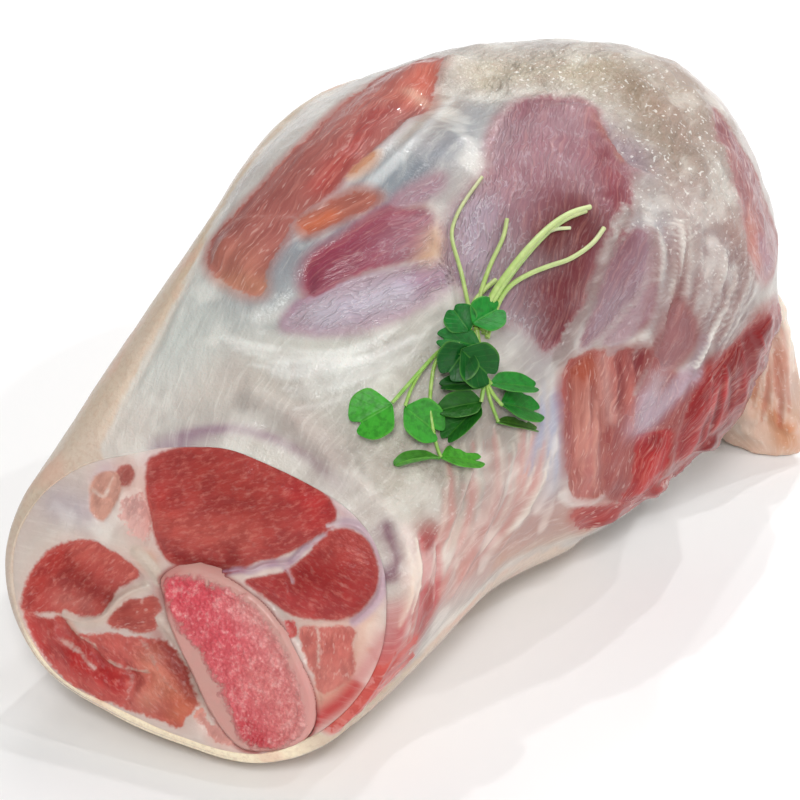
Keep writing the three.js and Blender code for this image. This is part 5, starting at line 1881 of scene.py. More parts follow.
        bone = Outline(plane, BONE_BORDER).depth(flat)
        canvas.blend(canvas.cover, linear(self.bone_edge_tint), bell(bone.ravel() + 0.1, 0.5) * 0.8)
        bare = smooth(canvas.window, -0.6, 0.6)
        fine = Texture.FACE_GRAINS.at(points)
        broad = Texture.FACE_WAVES.at(points)
        rise = (canvas.rise + 0.16 * fine * (0.5 + bare) + 0.4 * broad).reshape(level.shape)
        level = rise * (1.0 - under) - self.under_lip * under
        level = level - (self.bone_recess + rise * (1.0 - under)) * smooth(bone, -0.1, 0.5)
        front = plane.points(flat, level).reshape(-1, 3)
        back = plane.points(flat[-1], np.full(self.sides, -self.depth))
        first = plane.points(np.zeros((1, 2)), level[:1, :1].mean(axis=1))
        last = plane.points(np.zeros((1, 2)), np.array([-self.depth]))
        whole = np.vstack([first, front, back, last])
        finish = TissueFinish("cut_meat", fibre_bump=0.6, cover_bump=0.25, fibre_stretch=(0.5, 0.95, 1.0),
                              bundle_stretch=(0.16, 0.26, 1.0), fleck_stretch=(0.5, 1.1, 1.0),
                              translucence=0.2, streakiness=0.2)
        piece = make_piece("sawn_face", whole, ring_faces(self.rings + 1, self.sides), finish.build())
        canvas.store_from(piece.data, self.source(len(points)))
        hand_in(piece, "meat", "hock")
        return piece

    def source(self, count: int) -> Array:
        """Which canvas point each vertex takes its paint from."""
        rim = np.arange(count - self.sides, count)
        return np.concatenate([[0], np.arange(count), rim, [0]])


@dataclass(frozen=True)
class BoneFinish:
    """Sawn bone: a smooth pale rim, and red grainy marrow where the painted window is open."""

    name: str = "sawn_bone_and_marrow"
    deep_tint: Tint = (186, 38, 52)
    pale_tint: Tint = (246, 206, 198)
    granule_tint: Tint = (168, 40, 54)
    rim_blush_tint: Tint = (208, 148, 140)
    mottle_scale: float = 420.0
    spot_scale: float = 900.0
    granule_scale: float = 1150.0

    def build(self) -> bpy.types.Material:
        """Make the material.

        Returns:
            The material.
        """
        graph = Graph(self.name)
        window, _, _ = graph.parts("tissue")
        where = graph.where()
        marrow = graph.attribute("muscle").outputs["Color"]
        rim = graph.attribute("cover").outputs["Color"]
        edge_noise = graph.math("SUBTRACT", graph.noise(where, self.mottle_scale, 5.0, 0.68), 0.5)
        edge_noise = graph.math("MULTIPLY", edge_noise, 7.0)
        mask = graph.ramp(graph.math("ADD", window, edge_noise), -0.9, 0.9)
        granules = graph.cells(where, self.granule_scale)
        mottle = graph.noise(where, self.mottle_scale, 4.0, 0.68)
        spots = graph.noise(where, self.spot_scale, 3.0, 0.7)
        deep = graph.mix(0.5, marrow, self.deep_tint)
        colour = graph.mix(graph.ramp(mottle, 0.36, 0.6), deep, marrow)
        pale = graph.mix(0.6, marrow, self.pale_tint)
        colour = graph.mix(graph.ramp(mottle, 0.52, 0.68, 0.0, 0.6), colour, pale)
        colour = graph.mix(graph.ramp(spots, 0.56, 0.70, 0.0, 0.4), colour, pale)
        red = graph.mix(0.5, marrow, self.granule_tint)
        colour = graph.mix(graph.ramp(granules, 0.40, 0.66, 0.0, 0.35), colour, red)
        clouds = graph.ramp(graph.noise(where, 240.0, 3.0, 0.6), 0.35, 0.7, 0.0, 0.55)
        rim_colour = graph.mix(clouds, rim, self.rim_blush_tint)
        graph.set(Base_Color=graph.mix(mask, rim_colour, colour))
        grains = graph.math("ADD", spots, graph.math("MULTIPLY", granules, 0.9))
        grains = graph.math("MULTIPLY", grains, mask)
        height = graph.math("ADD", grains, graph.math("MULTIPLY", graph.noise(where, 500.0, 3.0), 0.25))
        normal = graph.bump(height, 0.8, 0.0005)
        graph.set(Normal=normal, Coat_Normal=normal, Roughness=0.42, Subsurface_Weight=0.2,
                  Subsurface_Radius=(1.0, 0.35, 0.3), Subsurface_Scale=0.002,
                  Coat_Weight=0.3, Coat_Roughness=0.2)
        return graph.material


@dataclass
class SawnBone:
    """The shin bone: sawn across at the end of the hock, with its shaft inside; sizes in mm."""

    form: HockForm
    half_length: float = 24.5
    half_width: float = 12.4
    turn: float = 42.0
    squareness: float = 2.4
    across: float = -10.5
    up: float = -12.0
    reach: float = 0.52
    shaft_scale: float = 0.62
    wander: float = 0.7
    proud: float = 0.6
    dish: float = 0.7
    sides: int = 200
    face_rings: int = 46
    shaft_rings: int = 26
    marrow_margin: float = 0.7
    border_gap: float = 0.15
    marrow_tint: Tint = (208, 96, 102)
    rim_tint: Tint = (202, 152, 142)

    MARROW: Path = ((168, 582), (190, 581), (215, 588), (240, 599), (256, 613), (269, 631), (283, 656),
                    (296, 690), (301, 715), (294, 735), (270, 746), (250, 741), (239, 722), (228, 695),
                    (213, 668), (197, 643), (180, 622), (171, 602))
    MARKS = (
        Wash("upper_red", ((180, 590), (205, 600), (225, 620)), 4.5, (212, 72, 86), 0.9, Layer.MUSCLE),
        Wash("right_pink", ((240, 612), (262, 632), (272, 655)), 3.6, (230, 150, 150), 0.9, Layer.MUSCLE),
        Wash("middle_red", ((222, 630), (240, 660), (250, 690)), 3.2, (214, 88, 98), 0.9, Layer.MUSCLE),
        Wash("lower_right_pink", ((262, 680), (280, 710), (286, 728)), 4.6, (218, 134, 130), 0.95,
             Layer.MUSCLE),
        Wash("right_edge_pink", ((245, 606), (275, 640), (296, 690), (298, 726)), 2.2, (220, 150, 144), 0.8,
             Layer.MUSCLE),
        Wash("foot_red", ((244, 732), (258, 742)), 2.4, (186, 48, 60), 0.8, Layer.MUSCLE),
        Wash("rim_right_blush", ((300, 672), (310, 704), (300, 740)), 2.0, (214, 150, 144), 0.8,
             Layer.COVER),
        Wash("rim_left_blush", ((175, 572), (165, 590), (172, 612)), 1.6, (204, 120, 114), 0.6,
             Layer.COVER),
    )

    def build(self) -> bpy.types.Object:
        """Make the bone.

        Returns:
            The finished piece.
        """
        plane = CutPlane(self.form)
        border = Outline(plane, BONE_BORDER)
        middle = border.polar()[0]
        angle = np.linspace(0.0, 2 * math.pi, self.sides, endpoint=False)
        direction = np.stack([np.cos(angle), np.sin(angle)], -1)
        radius = border.radius(angle) - self.border_gap
        share = np.linspace(0.0, 1.0, self.face_rings + 1)[1:]
        flat = middle + direction * (radius * share[:, None])[..., None]
        dish = self.dish * smooth(Outline(plane, self.MARROW).depth(flat), -0.8, 2.0)
        rounding = 0.5 * smooth(share, 0.94, 1.0)[:, None]
        points = plane.points(flat, self.proud - dish - rounding).reshape(-1, 3)
        rough = Texture.MARROW_GRAINS.at(points).reshape(dish.shape) * 0.18 * (0.4 + dish / self.dish)
        face = plane.points(flat, self.proud - dish - rounding + rough)

        shaft = self.shaft(plane, middle, radius, direction, angle)
        first = plane.points(middle[None], np.array([self.proud - self.dish]))
        last = shaft[-1].mean(axis=0, keepdims=True)
        whole = np.vstack([first, face.reshape(-1, 3), shaft.reshape(-1, 3), last])
        flat_all = plane.points(plane.flat(whole), np.zeros(len(whole)))
        canvas = Canvas(flat_all, np.tile(plane.frame()[3], (len(whole), 1)), plane.trace,
                        self.marrow_tint, self.rim_tint)
        canvas.add_muscle(Muscle("marrow", self.MARROW, self.marrow_tint))
        canvas.add_all(self.MARKS)
        canvas.window += self.marrow_margin
        canvas.window[1 + face.shape[0] * self.sides:] = -9.0
        faces = ring_faces(len(face) + len(shaft), self.sides)
        piece = make_piece("sawn_bone", whole, faces, BoneFinish().build())
        canvas.store(piece.data)
        hand_in(piece, "bone", "shin_bone")
        return piece

    def shaft(self, plane: CutPlane, middle: Array, radius: Array, direction: Array, angle: Array) -> Array:
        """Rings of the shaft, which pass from the traced outline at the face to a plain oval."""
        step = np.linspace(0.0, 1.0, self.shaft_rings)
        rings = []
        for part in step:
            share = self.reach * (0.012 + 0.988 * part)
            centre, _, _, across, up = self.form.section(np.array([share]))
            shift = 1.0 - share / self.reach * self.wander
            scale = 1.0 - (1.0 - self.shaft_scale) * float(smooth(np.array([part]), 0.0, 0.8)[0])
            end = math.sqrt(max(1.0 - (0.97 * part) ** 8, 0.0))
            turned = angle - math.radians(-self.turn)
            oval = self.form.rounded_radius(turned, self.half_length, self.half_width, self.squareness)
            blend = float(smooth(np.array([part]), 0.0, 0.35)[0])
            size = (radius * (1.0 - blend) + oval * blend) * scale * end
            here = middle * (1.0 - blend) + np.array([self.across, self.up]) * blend
            flat = here * shift + direction * size[:, None]
            rings.append(centre[0] + flat[:, :1] * across[0] + flat[:, 1:2] * up[0])
        return np.array(rings)


# ---------------------------------------------------------------- the flap


@dataclass
class RindFlap:
    """The loose tongue of fat and skin that hangs at the far end; sizes in mm from the floor up."""

    facing: tuple[float, float, float] = (-0.829, -0.559, -0.083)
    offset: float = -34.0
    heights: tuple[float, ...] = (0.5, 6, 18, 30, 41, 51, 58)
    edge: tuple[float, ...] = (97, 101, 96, 92.5, 91, 88, 83)
    root: tuple[float, ...] = (80, 70, 69, 66, 64, 64, 70)
    half_thickness: tuple[float, ...] = (2, 3.8, 5, 6.4, 7.4, 7, 4)
    bend: float = 0.012
    edge_share: float = 0.6
    backing: float = 22.0
    slimness: float = 0.72
    rings: int = 130
    sides: int = 150
    flow_radius: float = 14.0
    meat_tint: Tint = (178, 90, 84)
    fat_tint: Tint = (216, 184, 164)
    skin_tint: Tint = (212, 182, 158)
    skin_side: tuple[float, float, float] = (0.75, 0.3, 0.0)

    MARKS = (
        Wash("head_pale", ((774, 296), (780, 320), (784, 345)), 3.4, (226, 216, 204), 0.9),
        Wash("middle_pink", ((770, 345), (774, 372), (770, 395)), 2.8, (228, 176, 160), 0.9),
        Wash("edge_pale", ((784, 360), (787, 390)), 2.0, (224, 200, 188), 0.8),
        Wash("orange_belly", ((758, 395), (770, 415), (784, 430)), 3.2, (206, 134, 92), 0.9),
        Wash("foot_orange", ((780, 442), (792, 444)), 2.4, (204, 146, 110), 0.8),
        Wash("foot_fold_pale", ((715, 445), (735, 432), (752, 425), (766, 448)), 2.2, (214, 184, 166), 0.9),
        Bundle("pale_strands", ((762, 300), (762, 350), (752, 420)), ((784, 300), (792, 360), (796, 440)),
             18, (240, 226, 210), 0.5, 0.3, 0.6, 41),
        Bundle("orange_strands", ((760, 320), (758, 370), (746, 430)), ((780, 320), (788, 380), (792, 446)),
             12, (198, 112, 84), 0.6, -0.3, 0.6, 42),
        Fold("middle_groove", ((768, 305), (772, 350), (766, 400), (770, 440)), 1.4, -0.9),
        Fold("edge_crest", ((782, 330), (786, 380), (790, 430)), 1.2, 0.9),
        Fold("lower_groove", ((750, 400), (764, 424), (782, 436)), 1.2, -0.9),
        Fold("foot_crest", ((744, 428), (764, 442)), 1.2, 0.7),
    )

    def build(self) -> bpy.types.Object:
        """Make the flap.

        Returns:
            The finished piece.
        """
        level = np.linspace(0.0, 1.0, self.rings)
        angle = np.linspace(0.0, 2 * math.pi, self.sides, endpoint=False)
        grid = self.surface(level, -angle)
        normals = grid_normals(grid)
        faces = ring_faces(self.rings, self.sides)
        points = self.closed(grid)
        tracer = SurfaceTracer(points, faces)
        canvas = Canvas(grid.reshape(-1, 3), normals.reshape(-1, 3), tracer, self.meat_tint, self.fat_tint)
        canvas.flow[:, 0] = canvas.points[:, 2]
        canvas.flow[:, 1] = np.tile(np.minimum(angle, 2 * math.pi - angle) * self.flow_radius, self.rings)
        canvas.add_all(self.MARKS)
        canvas.fat[:] = 0.25
        outer = canvas.normals @ np.array(self.skin_side)
        canvas.skin[:] = 0.6 * smooth(outer, 0.15, 0.5)
        canvas.blend(canvas.cover, linear(self.skin_tint), canvas.skin * 0.8)
        upright = canvas.points * np.array([1.0, 1.0, 0.35])
        canvas.rise += 0.7 * Texture.FLAP_LUMPS.at(canvas.points)
        canvas.rise += 0.35 * Texture.FLAP_CREASES.at(upright)
        moved = (canvas.points + canvas.normals * canvas.rise[:, None]).reshape(grid.shape)
        whole = self.closed(moved)
        whole[:, 2] = np.maximum(whole[:, 2], 0.1)
        finish = TissueFinish("flap_fat_and_skin", cover_bump=0.2, fine_bump=0.2, fat_bump=0.3,
                              subsurface=0.3)
        piece = make_piece("rind_flap", whole, faces, finish.build())
        count = len(canvas.points)
        canvas.store_from(piece.data, np.concatenate([[0], np.arange(count), [count - 1]]))
        hand_in(piece, "rind", "hock")
        return piece

    def surface(self, level: Array, angle: Array) -> Array:
        """Rings of points round the tongue."""
        form = HockForm()
        facing = unit(self.facing)
        along = unit((-facing[1], facing[0], 0.0))
        heights = form.along(self.heights, level)
        upright = np.stack([heights, heights * 0, heights * 0], 1)
        edge = form.along(self.edge, level) + 1.8 * Texture.FLAP_EDGE.at(upright)
        root = form.along(self.root, level)
        thick = form.along(self.half_thickness, level) * self.slimness
        middle, half = (edge + root) / 2, (edge - root) / 2
        inward = half[:, None] * (1.0 - np.cos(angle)[None])
        share = inward / half[:, None]
        swell = thick[:, None] * (self.edge_share + (1 - self.edge_share) * share) * np.sin(angle)[None]
        swell = swell + self.backing * np.minimum(np.sin(angle), 0.0)[None] * share / 2
        distance = middle[:, None] + half[:, None] * np.cos(angle)[None]
        depth = self.offset + swell - self.bend * inward ** 2
        grid = distance[..., None] * along + depth[..., None] * facing
        grid[..., 2] = heights[:, None]
        return grid

    @staticmethod
    def closed(grid: Array) -> Array:
        """The rings with a middle point at each end."""
        return np.vstack([grid[0].mean(axis=0), grid.reshape(-1, 3), grid[-1].mean(axis=0)])


# ---------------------------------------------------------------- the sprouts


@dataclass(frozen=True)
class LeafFinish:
    """A fresh seed leaf; its veins follow the leaf's own map."""

    name: str = "cress_leaf"
    mottle_tint: Tint = (14, 56, 12)
    vein_tint: Tint = (110, 180, 60)
    edge_tint: Tint = (120, 190, 70)

    def build(self) -> bpy.types.Material:
        """Make the material.

        Returns:
            The material.
        """
        graph = Graph(self.name)
        across, along, _ = graph.parts("leaf_map")
        tint = graph.attribute("tint").outputs["Color"]
        where = graph.where()
        side = graph.math("ABSOLUTE", across)
        midrib = graph.ramp(side, 0.06, 0.0)
        slant = graph.math("SUBTRACT", graph.math("MULTIPLY", along, 5.0), graph.math("MULTIPLY", side, 2.2))
        wave = graph.math("ABSOLUTE", graph.math("SUBTRACT", graph.math("FRACT", slant), 0.5))
        veins = graph.math("MAXIMUM", graph.ramp(wave, 0.07, 0.0, 0.0, 0.4), midrib)
        mottle = graph.ramp(graph.noise(where, 700.0, 2.0), 0.4, 0.65, 0.0, 0.35)
        colour = graph.mix(mottle, tint, self.mottle_tint)
        colour = graph.mix(graph.math("MULTIPLY", veins, 0.22), colour, self.vein_tint)
        colour = graph.mix(graph.ramp(side, 0.86, 1.0, 0.0, 0.25), colour, self.edge_tint)
        normal = graph.bump(graph.math("SUBTRACT", graph.noise(where, 900.0, 1.0), veins), 0.3, 0.0003)
        graph.set(Base_Color=colour, Normal=normal, Roughness=0.42, Specular_IOR_Level=0.28)
        return graph.material


@dataclass(frozen=True)
class StemFinish:
    """A seedling's stem: thin, moist and almost translucent."""

    name: str = "cress_stem"
    pale_tint: Tint = (214, 224, 158)

    def build(self) -> bpy.types.Material:
        """Make the material.

        Returns:
            The material.
        """
        graph = Graph(self.name)
        tint = graph.attribute("tint").outputs["Color"]
        where = graph.where()
        clouds = graph.ramp(graph.noise(where, 500.0, 2.0), 0.4, 0.7, 0.0, 0.3)
        colour = graph.mix(clouds, tint, self.pale_tint)
        normal = graph.bump(graph.noise(where, 1200.0, 2.0), 0.3, 0.0002)
        graph.set(Base_Color=colour, Normal=normal, Roughness=0.34, Subsurface_Weight=0.3,
                  Subsurface_Radius=(0.8, 1.0, 0.4), Subsurface_Scale=0.001)
        return graph.material


@dataclass(frozen=True)
class Leaf:
    """One seed leaf: base and tip in the photo's pixels, width in mm, and how it is held."""

    name: str
    base: Place
    tip: Place
    width: float
    tint: Tint
    lift: float = 4.0
    notch: float = 0.14
    cup: float = 0.10
    lean: float = 0.55
    roll: float = 0.0


@dataclass(frozen=True)
class Stem:
    """One stem: its path in the photo's pixels, radii in mm at both ends, and its heights."""

    name: str
    path: Path
    start_radius: float
    end_radius: float
    start_tint: Tint
    end_tint: Tint
    start_lift: float = 1.0
    middle_lift: float = 3.0
    end_lift: float = 4.0


@dataclass
class SproutBunch:
    """The bunch of cress seedlings that lies on the meat."""

    tracer: SurfaceTracer
    leaf_steps: int = 18
    leaf_thickness: float = 0.42
    leaf_fullness: float = 0.57
    leaf_widest: float = 0.54
    notch_width: float = 0.26
    midrib_width: float = 0.12
    midrib_depth: float = 0.22
    stem_sides: int = 12
    stem_smoothing: int = 3

    PALE = (176, 192, 124)
    LIME = (152, 188, 84)
    GREEN = (132, 176, 76)

    LEAVES = (
        Leaf("left_round", (392, 404), (357, 424), 10.6, (62, 152, 48), 4.2, 0.13, 0.08, 0.55),
        Leaf("middle_round", (405, 407), (437, 432), 8.6, (54, 142, 44), 3.8, 0.15, 0.1, 0.5),
        Leaf("low_left", (440, 456), (397, 463), 4.9, (72, 140, 46), 3.2, 0.05, 0.25, 0.25, 30),
        Leaf("low_right", (442, 457), (479, 460), 5.8, (74, 158, 46), 3.2, 0.12, 0.1, 0.35),
        Leaf("crown_left", (469, 331), (453, 309), 6.6, (28, 108, 42), 5.5, 0.06, 0.1, 0.7),
        Leaf("crown_right", (473, 323), (499, 308), 7.4, (32, 124, 44), 7.0, 0.1, 0.08, 0.75),
        Leaf("upper_left", (481, 346), (441, 338), 6.0, (26, 108, 40), 5.6, 0.12, 0.12, 0.55),
        Leaf("middle_right_dark", (462, 350), (490, 376), 8.8, (20, 86, 34), 7.6, 0.1, 0.14, 0.75),
        Leaf("middle_left_dark", (468, 346), (448, 374), 8.4, (20, 82, 34), 6.4, 0.1, 0.14, 0.75, -12),
        Leaf("narrow_left", (489, 383), (443, 385), 4.2, (28, 78, 30), 4.6, 0.04, 0.2, 0.35),
        Leaf("narrow_right", (491, 383), (535, 386), 5.4, (40, 124, 46), 4.4, 0.03, 0.14, 0.4),
        Leaf("right_round", (502, 403), (538, 411), 7.4, (34, 122, 42), 3.6, 0.12, 0.1, 0.5),
        Leaf("right_narrow", (497, 421), (536, 429), 3.2, (74, 118, 46), 2.6, 0.02, 0.2, 0.3),
        Leaf("lower_left_dark", (482, 401), (442, 409), 5.4, (38, 92, 32), 4.0, 0.06, 0.25, 0.45, -15),
        Leaf("lower_dark", (480, 403), (447, 437), 6.4, (38, 98, 36), 3.4, 0.06, 0.22, 0.5, 10),
    )
    STEMS = (
        Stem("long_left", ((482, 177), (464, 202), (454, 222), (452, 240), (461, 271), (468, 304),
             (474, 326)), 0.42, 0.5, (188, 188, 150), LIME, 0.6, 1.6, 5.0),
        Stem("short_upper", ((507, 219), (503, 238), (492, 261), (484, 282), (478, 304), (476, 330)), 0.5,
             0.55, (178, 190, 130), LIME, 0.8, 2.4, 5.0),
        Stem("broad_right", ((590, 207), (570, 213), (549, 227), (527, 249), (506, 275), (490, 300),
             (482, 330)), 0.62, 0.75, (196, 206, 150), LIME, 0.8, 3.6, 5.4),
        Stem("beside_broad", ((586, 211), (566, 219), (546, 234), (524, 258), (505, 283), (490, 308),
             (484, 334)), 0.5, 0.7, (186, 196, 140), GREEN, 0.8, 2.6, 4.6),
        Stem("inner_right", ((570, 228), (552, 230), (534, 244), (516, 266), (500, 290), (488, 310)), 0.4,
             0.6, (206, 212, 172), LIME, 0.8, 3.2, 5.2),
        Stem("far_right", ((604, 228), (592, 244), (570, 259), (549, 266), (527, 275), (509, 287),
             (497, 306), (487, 338)), 0.55, 0.6, (192, 196, 152), LIME, 0.8, 2.0, 4.4),
        Stem("short_left", ((496, 280), (484, 290), (472, 306), (470, 330)), 0.6, 0.5, PALE, LIME, 2.0, 3.6,
             5.0),
        Stem("trunk", ((476, 326), (480, 352), (484, 383)), 0.6, 0.5, LIME, GREEN, 4.5, 4.8, 4.4),
        Stem("to_left_round", ((478, 330), (462, 342), (444, 347), (422, 369), (392, 403)), 0.5, 0.42, LIME,
             (128, 180, 76), 4.5, 3.4, 4.2),
        Stem("to_middle_round", ((444, 347), (424, 367), (412, 387), (405, 406)), 0.4, 0.4, LIME, GREEN,
             3.4, 3.4, 3.8),
        Stem("to_low_pair", ((460, 344), (438, 358), (432, 378), (430, 409), (436, 444), (441, 457)), 0.45,
             0.4, LIME, GREEN, 4.4, 2.4, 3.2),
        Stem("to_lower_dark", ((484, 378), (483, 390), (481, 402)), 0.5, 0.45, GREEN, GREEN, 4.4, 4.2, 3.8),
        Stem("to_right_round", ((485, 380), (493, 394), (502, 405)), 0.45, 0.42, LIME, GREEN, 4.4, 3.8,
             3.6),
        Stem("to_right_narrow", ((486, 382), (490, 400), (498, 421)), 0.42, 0.4, LIME, GREEN, 4.4, 2.8,
             2.6),
        Stem("to_narrow_pair", ((484, 376), (488, 380), (491, 384)), 0.5, 0.45, GREEN, GREEN, 4.4, 4.5,
             4.4),
    )

    def build(self) -> list[bpy.types.Object]:
        """Make the stems and the leaves."""
        return [self.build_stems(), self.build_leaves()]

    def lifted(self, place: Place, lift: float) -> Array:
        """A point over the meat, moved towards the eye so that it stays behind its picture place."""
        hit = self.tracer(View.PHOTO, place)
        to_eye = unit(View.PHOTO.value.place() - hit)
        return hit + to_eye * lift

    def build_stems(self) -> bpy.types.Object:
        """Run tubes along the stems' paths with geometry nodes."""
        points, edges, radii, tints = [], [], [], []
        for stem in self.STEMS:
            path = smooth_path(stem.path, False, 6)
            share = np.linspace(0.0, 1.0, len(path))
            lifts = np.interp(share, [0.0, 0.5, 1.0], [stem.start_lift, stem.middle_lift, stem.end_lift])
            line = np.array([self.lifted(place, lift) for place, lift in zip(path, lifts)])
            for _ in range(self.stem_smoothing):
                line[1:-1] = (line[:-2] + 2 * line[1:-1] + line[2:]) / 4
            start = len(points)
            points.extend(line)
            edges.extend((start + step, start + step + 1) for step in range(len(line) - 1))
            radii.extend(stem.start_radius + (stem.end_radius - stem.start_radius) * share)
            first, last = linear(stem.start_tint), linear(stem.end_tint)
            tints.extend([*(first + (last - first) * part), 1.0] for part in share)
        mesh = bpy.data.meshes.new("stem_paths")
        mesh.from_pydata((np.array(points) * MM).tolist(), edges, [])
        attribute = mesh.attributes.new("stem_radius", "FLOAT", "POINT")
        attribute.data.foreach_set("value", np.array(radii) * MM)
        store_tints(mesh, tints)
        path_object = bpy.data.objects.new("sprout_stems", mesh)
        bpy.context.scene.collection.objects.link(path_object)
        piece = self.tubes(path_object, StemFinish().build())
        hand_in(piece, "sprout", "sprout_bunch")
        return piece

    def tubes(self, piece: bpy.types.Object, material: bpy.types.Material) -> bpy.types.Object:
        """Turn an object's edges into closed tubes of the radius stored on their points."""
        group = bpy.data.node_groups.new("stems_along_paths", "GeometryNodeTree")
        group.interface.new_socket("Geometry", in_out="INPUT", socket_type="NodeSocketGeometry")
        sides = group.interface.new_socket("Sides", in_out="INPUT", socket_type="NodeSocketInt")
        finish = group.interface.new_socket("Finish", in_out="INPUT", socket_type="NodeSocketMaterial")
        group.interface.new_socket("Geometry", in_out="OUTPUT", socket_type="NodeSocketGeometry")
        node = group.nodes.new
        start = node("NodeGroupInput")
        curve = node("GeometryNodeMeshToCurve")
        circle = node("GeometryNodeCurvePrimitiveCircle")
        radius = node("GeometryNodeInputNamedAttribute")
        tube = node("GeometryNodeCurveToMesh")
        soft = node("GeometryNodeSetShadeSmooth")
        real = node("GeometryNodeRealizeInstances")
        dress = node("GeometryNodeSetMaterial")
        end = node("NodeGroupOutput")
        radius.data_type = "FLOAT"
        radius.inputs["Name"].default_value = "stem_radius"
        circle.inputs["Radius"].default_value = 1.0
        tube.inputs["Fill Caps"].default_value = True
        link = group.links.new
        link(start.outputs["Geometry"], curve.inputs["Mesh"])
        link(start.outputs["Sides"], circle.inputs["Resolution"])
        link(curve.outputs[0], tube.inputs["Curve"])
        link(circle.outputs[0], tube.inputs["Profile Curve"])
        link(radius.outputs["Attribute"], tube.inputs["Scale"])
        link(tube.outputs[0], soft.inputs[0])
        link(soft.outputs[0], real.inputs[0])
        link(real.outputs[0], dress.inputs["Geometry"])
        link(start.outputs["Finish"], dress.inputs["Material"])
        link(dress.outputs[0], end.inputs[0])
        modifier = piece.modifiers.new("stems", "NODES")
        modifier.node_group = group
        modifier[sides.identifier] = self.stem_sides
        modifier[finish.identifier] = material
        graph = bpy.context.evaluated_depsgraph_get()
        mesh = bpy.data.meshes.new_from_object(piece.evaluated_get(graph))
        piece.modifiers.clear()
        piece.data = mesh
        return piece

    def build_leaves(self) -> bpy.types.Object:
        """Make every leaf as its own closed shell, all in one piece."""
        points, faces, maps, tints = [], [], [], []
        for leaf in self.LEAVES:
            shell, shell_faces, shell_map = self.leaf_shell(leaf)
            start = len(points)
            points.extend(shell)
            faces.extend(tuple(start + number for number in face) for face in shell_faces)
            maps.extend(shell_map)
            fresh = np.maximum(linear(leaf.tint) * 1.1 - 0.010, 0.001)
            tints.extend([[*fresh, 1.0]] * len(shell))
        piece = make_piece("sprout_leaves", np.array(points), faces, LeafFinish().build())
        attribute = piece.data.attributes.new("leaf_map", "FLOAT_VECTOR", "POINT")
        attribute.data.foreach_set("vector", np.array(maps, np.float32).ravel())
        store_tints(piece.data, tints)
        hand_in(piece, "sprout", "sprout_bunch")
        return piece

    def leaf_shell(self, leaf: Leaf) -> tuple[Array, list[tuple[int, ...]], Array]:
        """One leaf's points, faces and map.

        Args:
            leaf: The leaf.

        Returns:
            Points in mm, faces, and for each point its place across (-1 to 1) and along (0 to 1).
        """
        base = self.lifted(leaf.base, leaf.lift)
        tip = self.lifted(leaf.tip, leaf.lift * 0.8)
        along = tip - base
        length = np.linalg.norm(along)
        along = along / length
        to_eye = unit(View.PHOTO.value.place() - base)
        facing = to_eye * leaf.lean + np.array([0.0, 0.0, 1.0]) * (1.0 - leaf.lean)
        side = unit(np.cross(facing, along))
        facing = np.cross(along, side)
        roll = math.radians(leaf.roll)
        side, facing = (side * math.cos(roll) + facing * math.sin(roll),
                        facing * math.cos(roll) - side * math.sin(roll))
        steps = self.leaf_steps
        across = np.sin(np.linspace(-math.pi / 2, math.pi / 2, 2 * steps + 1))
        run = 0.5 - 0.5 * np.cos(np.linspace(0.0, math.pi, steps + 1))
        u, v = np.meshgrid(across, run)
        from_widest = np.abs((v - self.leaf_widest) / self.leaf_widest)
        width = leaf.width * self.leaf_fullness * np.sqrt(np.maximum(1.0 - from_widest ** 2.5, 0.0))
        width = width * smooth(v, -0.25, 0.3)
        top = 1.04 + leaf.notch * (0.6 - 1.7 * np.exp(-(u / self.notch_width) ** 2)) - 0.10 * u ** 4
        reach = length * v * (1.0 + (top - 1.0) * v ** 2)
        height = leaf.cup * leaf.width * (u ** 2 * (width / leaf.width * 2) - 0.35 * (v - 0.5) ** 2 * 4)
        height = height - self.midrib_depth * np.exp(-(u / self.midrib_width) ** 2)
        height = height + 0.12 * leaf.width * leaf.cup * np.sin(5 * v + 3 * u + leaf.base[0])
        middle = (base + along * reach[..., None] + side * (u * width)[..., None]
                  + facing * height[..., None])
        half = self.leaf_thickness / 2 * np.sqrt(np.maximum(1.0 - u ** 6, 0.02))
        upper, lower = middle + facing * half[..., None], middle - facing * half[..., None]
        return sewn(upper, lower, u, v)


# ---------------------------------------------------------------- the studio


@dataclass(frozen=True)
class Softbox:
    """One square soft light: its place and size in metres, its power in watts."""

    name: str
    place: tuple[float, float, float]
    size: float
    power: float

    def build(self, target: tuple[float, float, float]) -> None:
        """Make the light, pointing at a target."""
        lamp = bpy.data.lights.new(self.name, "AREA")
        lamp.size = self.size
        lamp.energy = self.power
        holder = bpy.data.objects.new(self.name, lamp)
        holder.location = self.place
        aim = Vector(target) - Vector(self.place)
        holder.rotation_euler = aim.to_track_quat("-Z", "Y").to_euler()
        bpy.context.scene.collection.objects.link(holder)


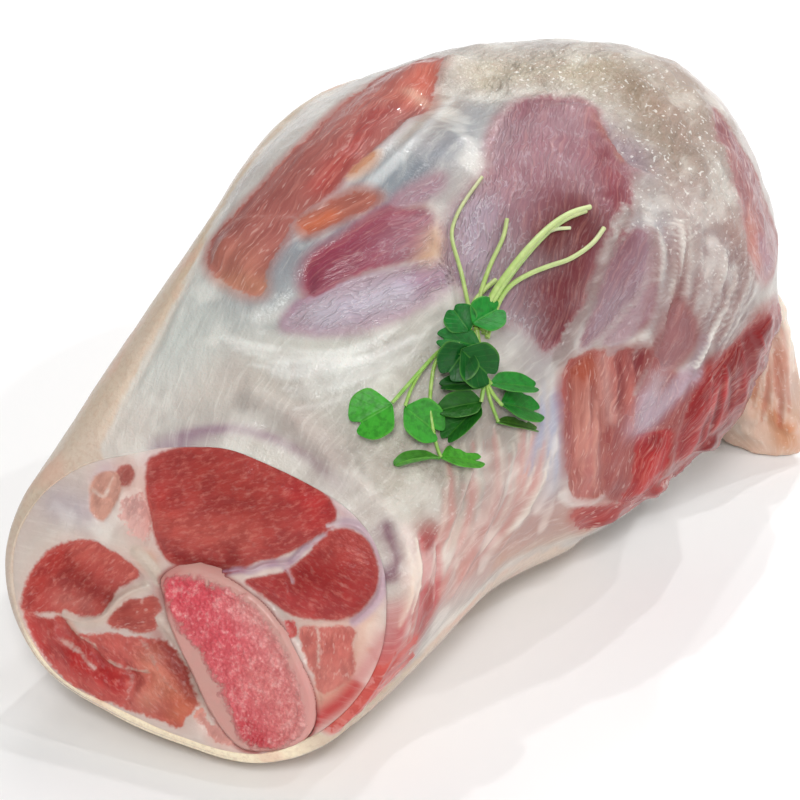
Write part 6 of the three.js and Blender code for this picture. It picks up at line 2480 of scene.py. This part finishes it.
@dataclass(frozen=True)
class Studio:
    """A pale floor, soft light and the photo's camera; sizes in metres, power in watts."""

    floor_size: float = 8.0
    floor_tint: Tint = (246, 246, 246)
    floor_drop: float = 0.2
    sky: float = 0.3
    target: tuple[float, float, float] = (0.0, 0.0, 0.05)
    clip: tuple[float, float] = (0.05, 20.0)

    LIGHTS = (
        Softbox("key_softbox", (-0.9, -0.55, 1.15), 0.34, 10.4),
        Softbox("front_softbox", (-0.2, -1.3, 0.8), 0.5, 3.2),
        Softbox("back_softbox", (0.7, 0.5, 1.3), 0.4, 3.6),
        Softbox("front_glint", (0.25, -0.75, 1.1), 0.028, 1.6),
        Softbox("right_glint", (0.75, -0.15, 1.0), 0.024, 2.0),
        Softbox("low_glint", (0.95, 0.15, 0.5), 0.024, 1.6),
        Softbox("top_glint", (0.45, 0.2, 1.15), 0.024, 1.8),
        Softbox("near_glint", (0.9, -0.4, 0.9), 0.024, 1.8),
    )

    def build(self) -> None:
        """Make the floor, the light and the camera."""
        self.floor()
        world = bpy.data.worlds.new("studio")
        bpy.context.scene.world = world
        world.use_nodes = True
        background = next(node for node in world.node_tree.nodes if node.type == "BACKGROUND")
        background.inputs["Color"].default_value = (1.0, 1.0, 1.0, 1.0)
        background.inputs["Strength"].default_value = self.sky
        for softbox in self.LIGHTS:
            softbox.build(self.target)
        self.camera()
        bpy.context.scene.view_settings.view_transform = "Standard"

    def floor(self) -> None:
        """A large plain floor, just under the hock so that their faces don't meet."""
        half = self.floor_size / 2 / MM
        corners = ((-half, -half), (half, -half), (half, half), (-half, half))
        points = np.array([(x, y, -self.floor_drop) for x, y in corners])
        graph = Graph("studio_floor")
        graph.set(Base_Color=(*linear(self.floor_tint), 1.0), Roughness=0.9, Specular_IOR_Level=0.1)
        floor = make_piece("studio_floor", points, [(0, 1, 2, 3)], graph.material)

    def camera(self) -> None:
        """The camera at the photo's viewing angle."""
        eye = View.PHOTO.value
        back, right, up = eye.axes()
        lens = bpy.data.cameras.new("photo_camera")
        lens.lens = eye.lens
        lens.sensor_width = eye.sensor
        lens.clip_start, lens.clip_end = self.clip
        camera = bpy.data.objects.new("photo_camera", lens)
        turn = Matrix((right, up, back)).transposed()
        camera.matrix_world = Matrix.Translation(Vector(eye.place() * MM)) @ turn.to_4x4()
        bpy.context.scene.collection.objects.link(camera)
        bpy.context.scene.camera = camera


def main() -> None:
    """Build the studio and the hock, piece by piece, and log each piece."""
    logging.basicConfig(level=logging.INFO, format="%(message)s")
    Studio().build()
    body = MeatBody()
    meat, tracer = body.build()
    pieces = [meat, SawnFace(body).build(), SawnBone(body.form).build(), RindFlap().build()]
    pieces.extend(SproutBunch(tracer).build())
    for piece in pieces:
        log.info("%s: %d faces", piece.name, len(piece.data.polygons))


if __name__ == "__main__":
    main()
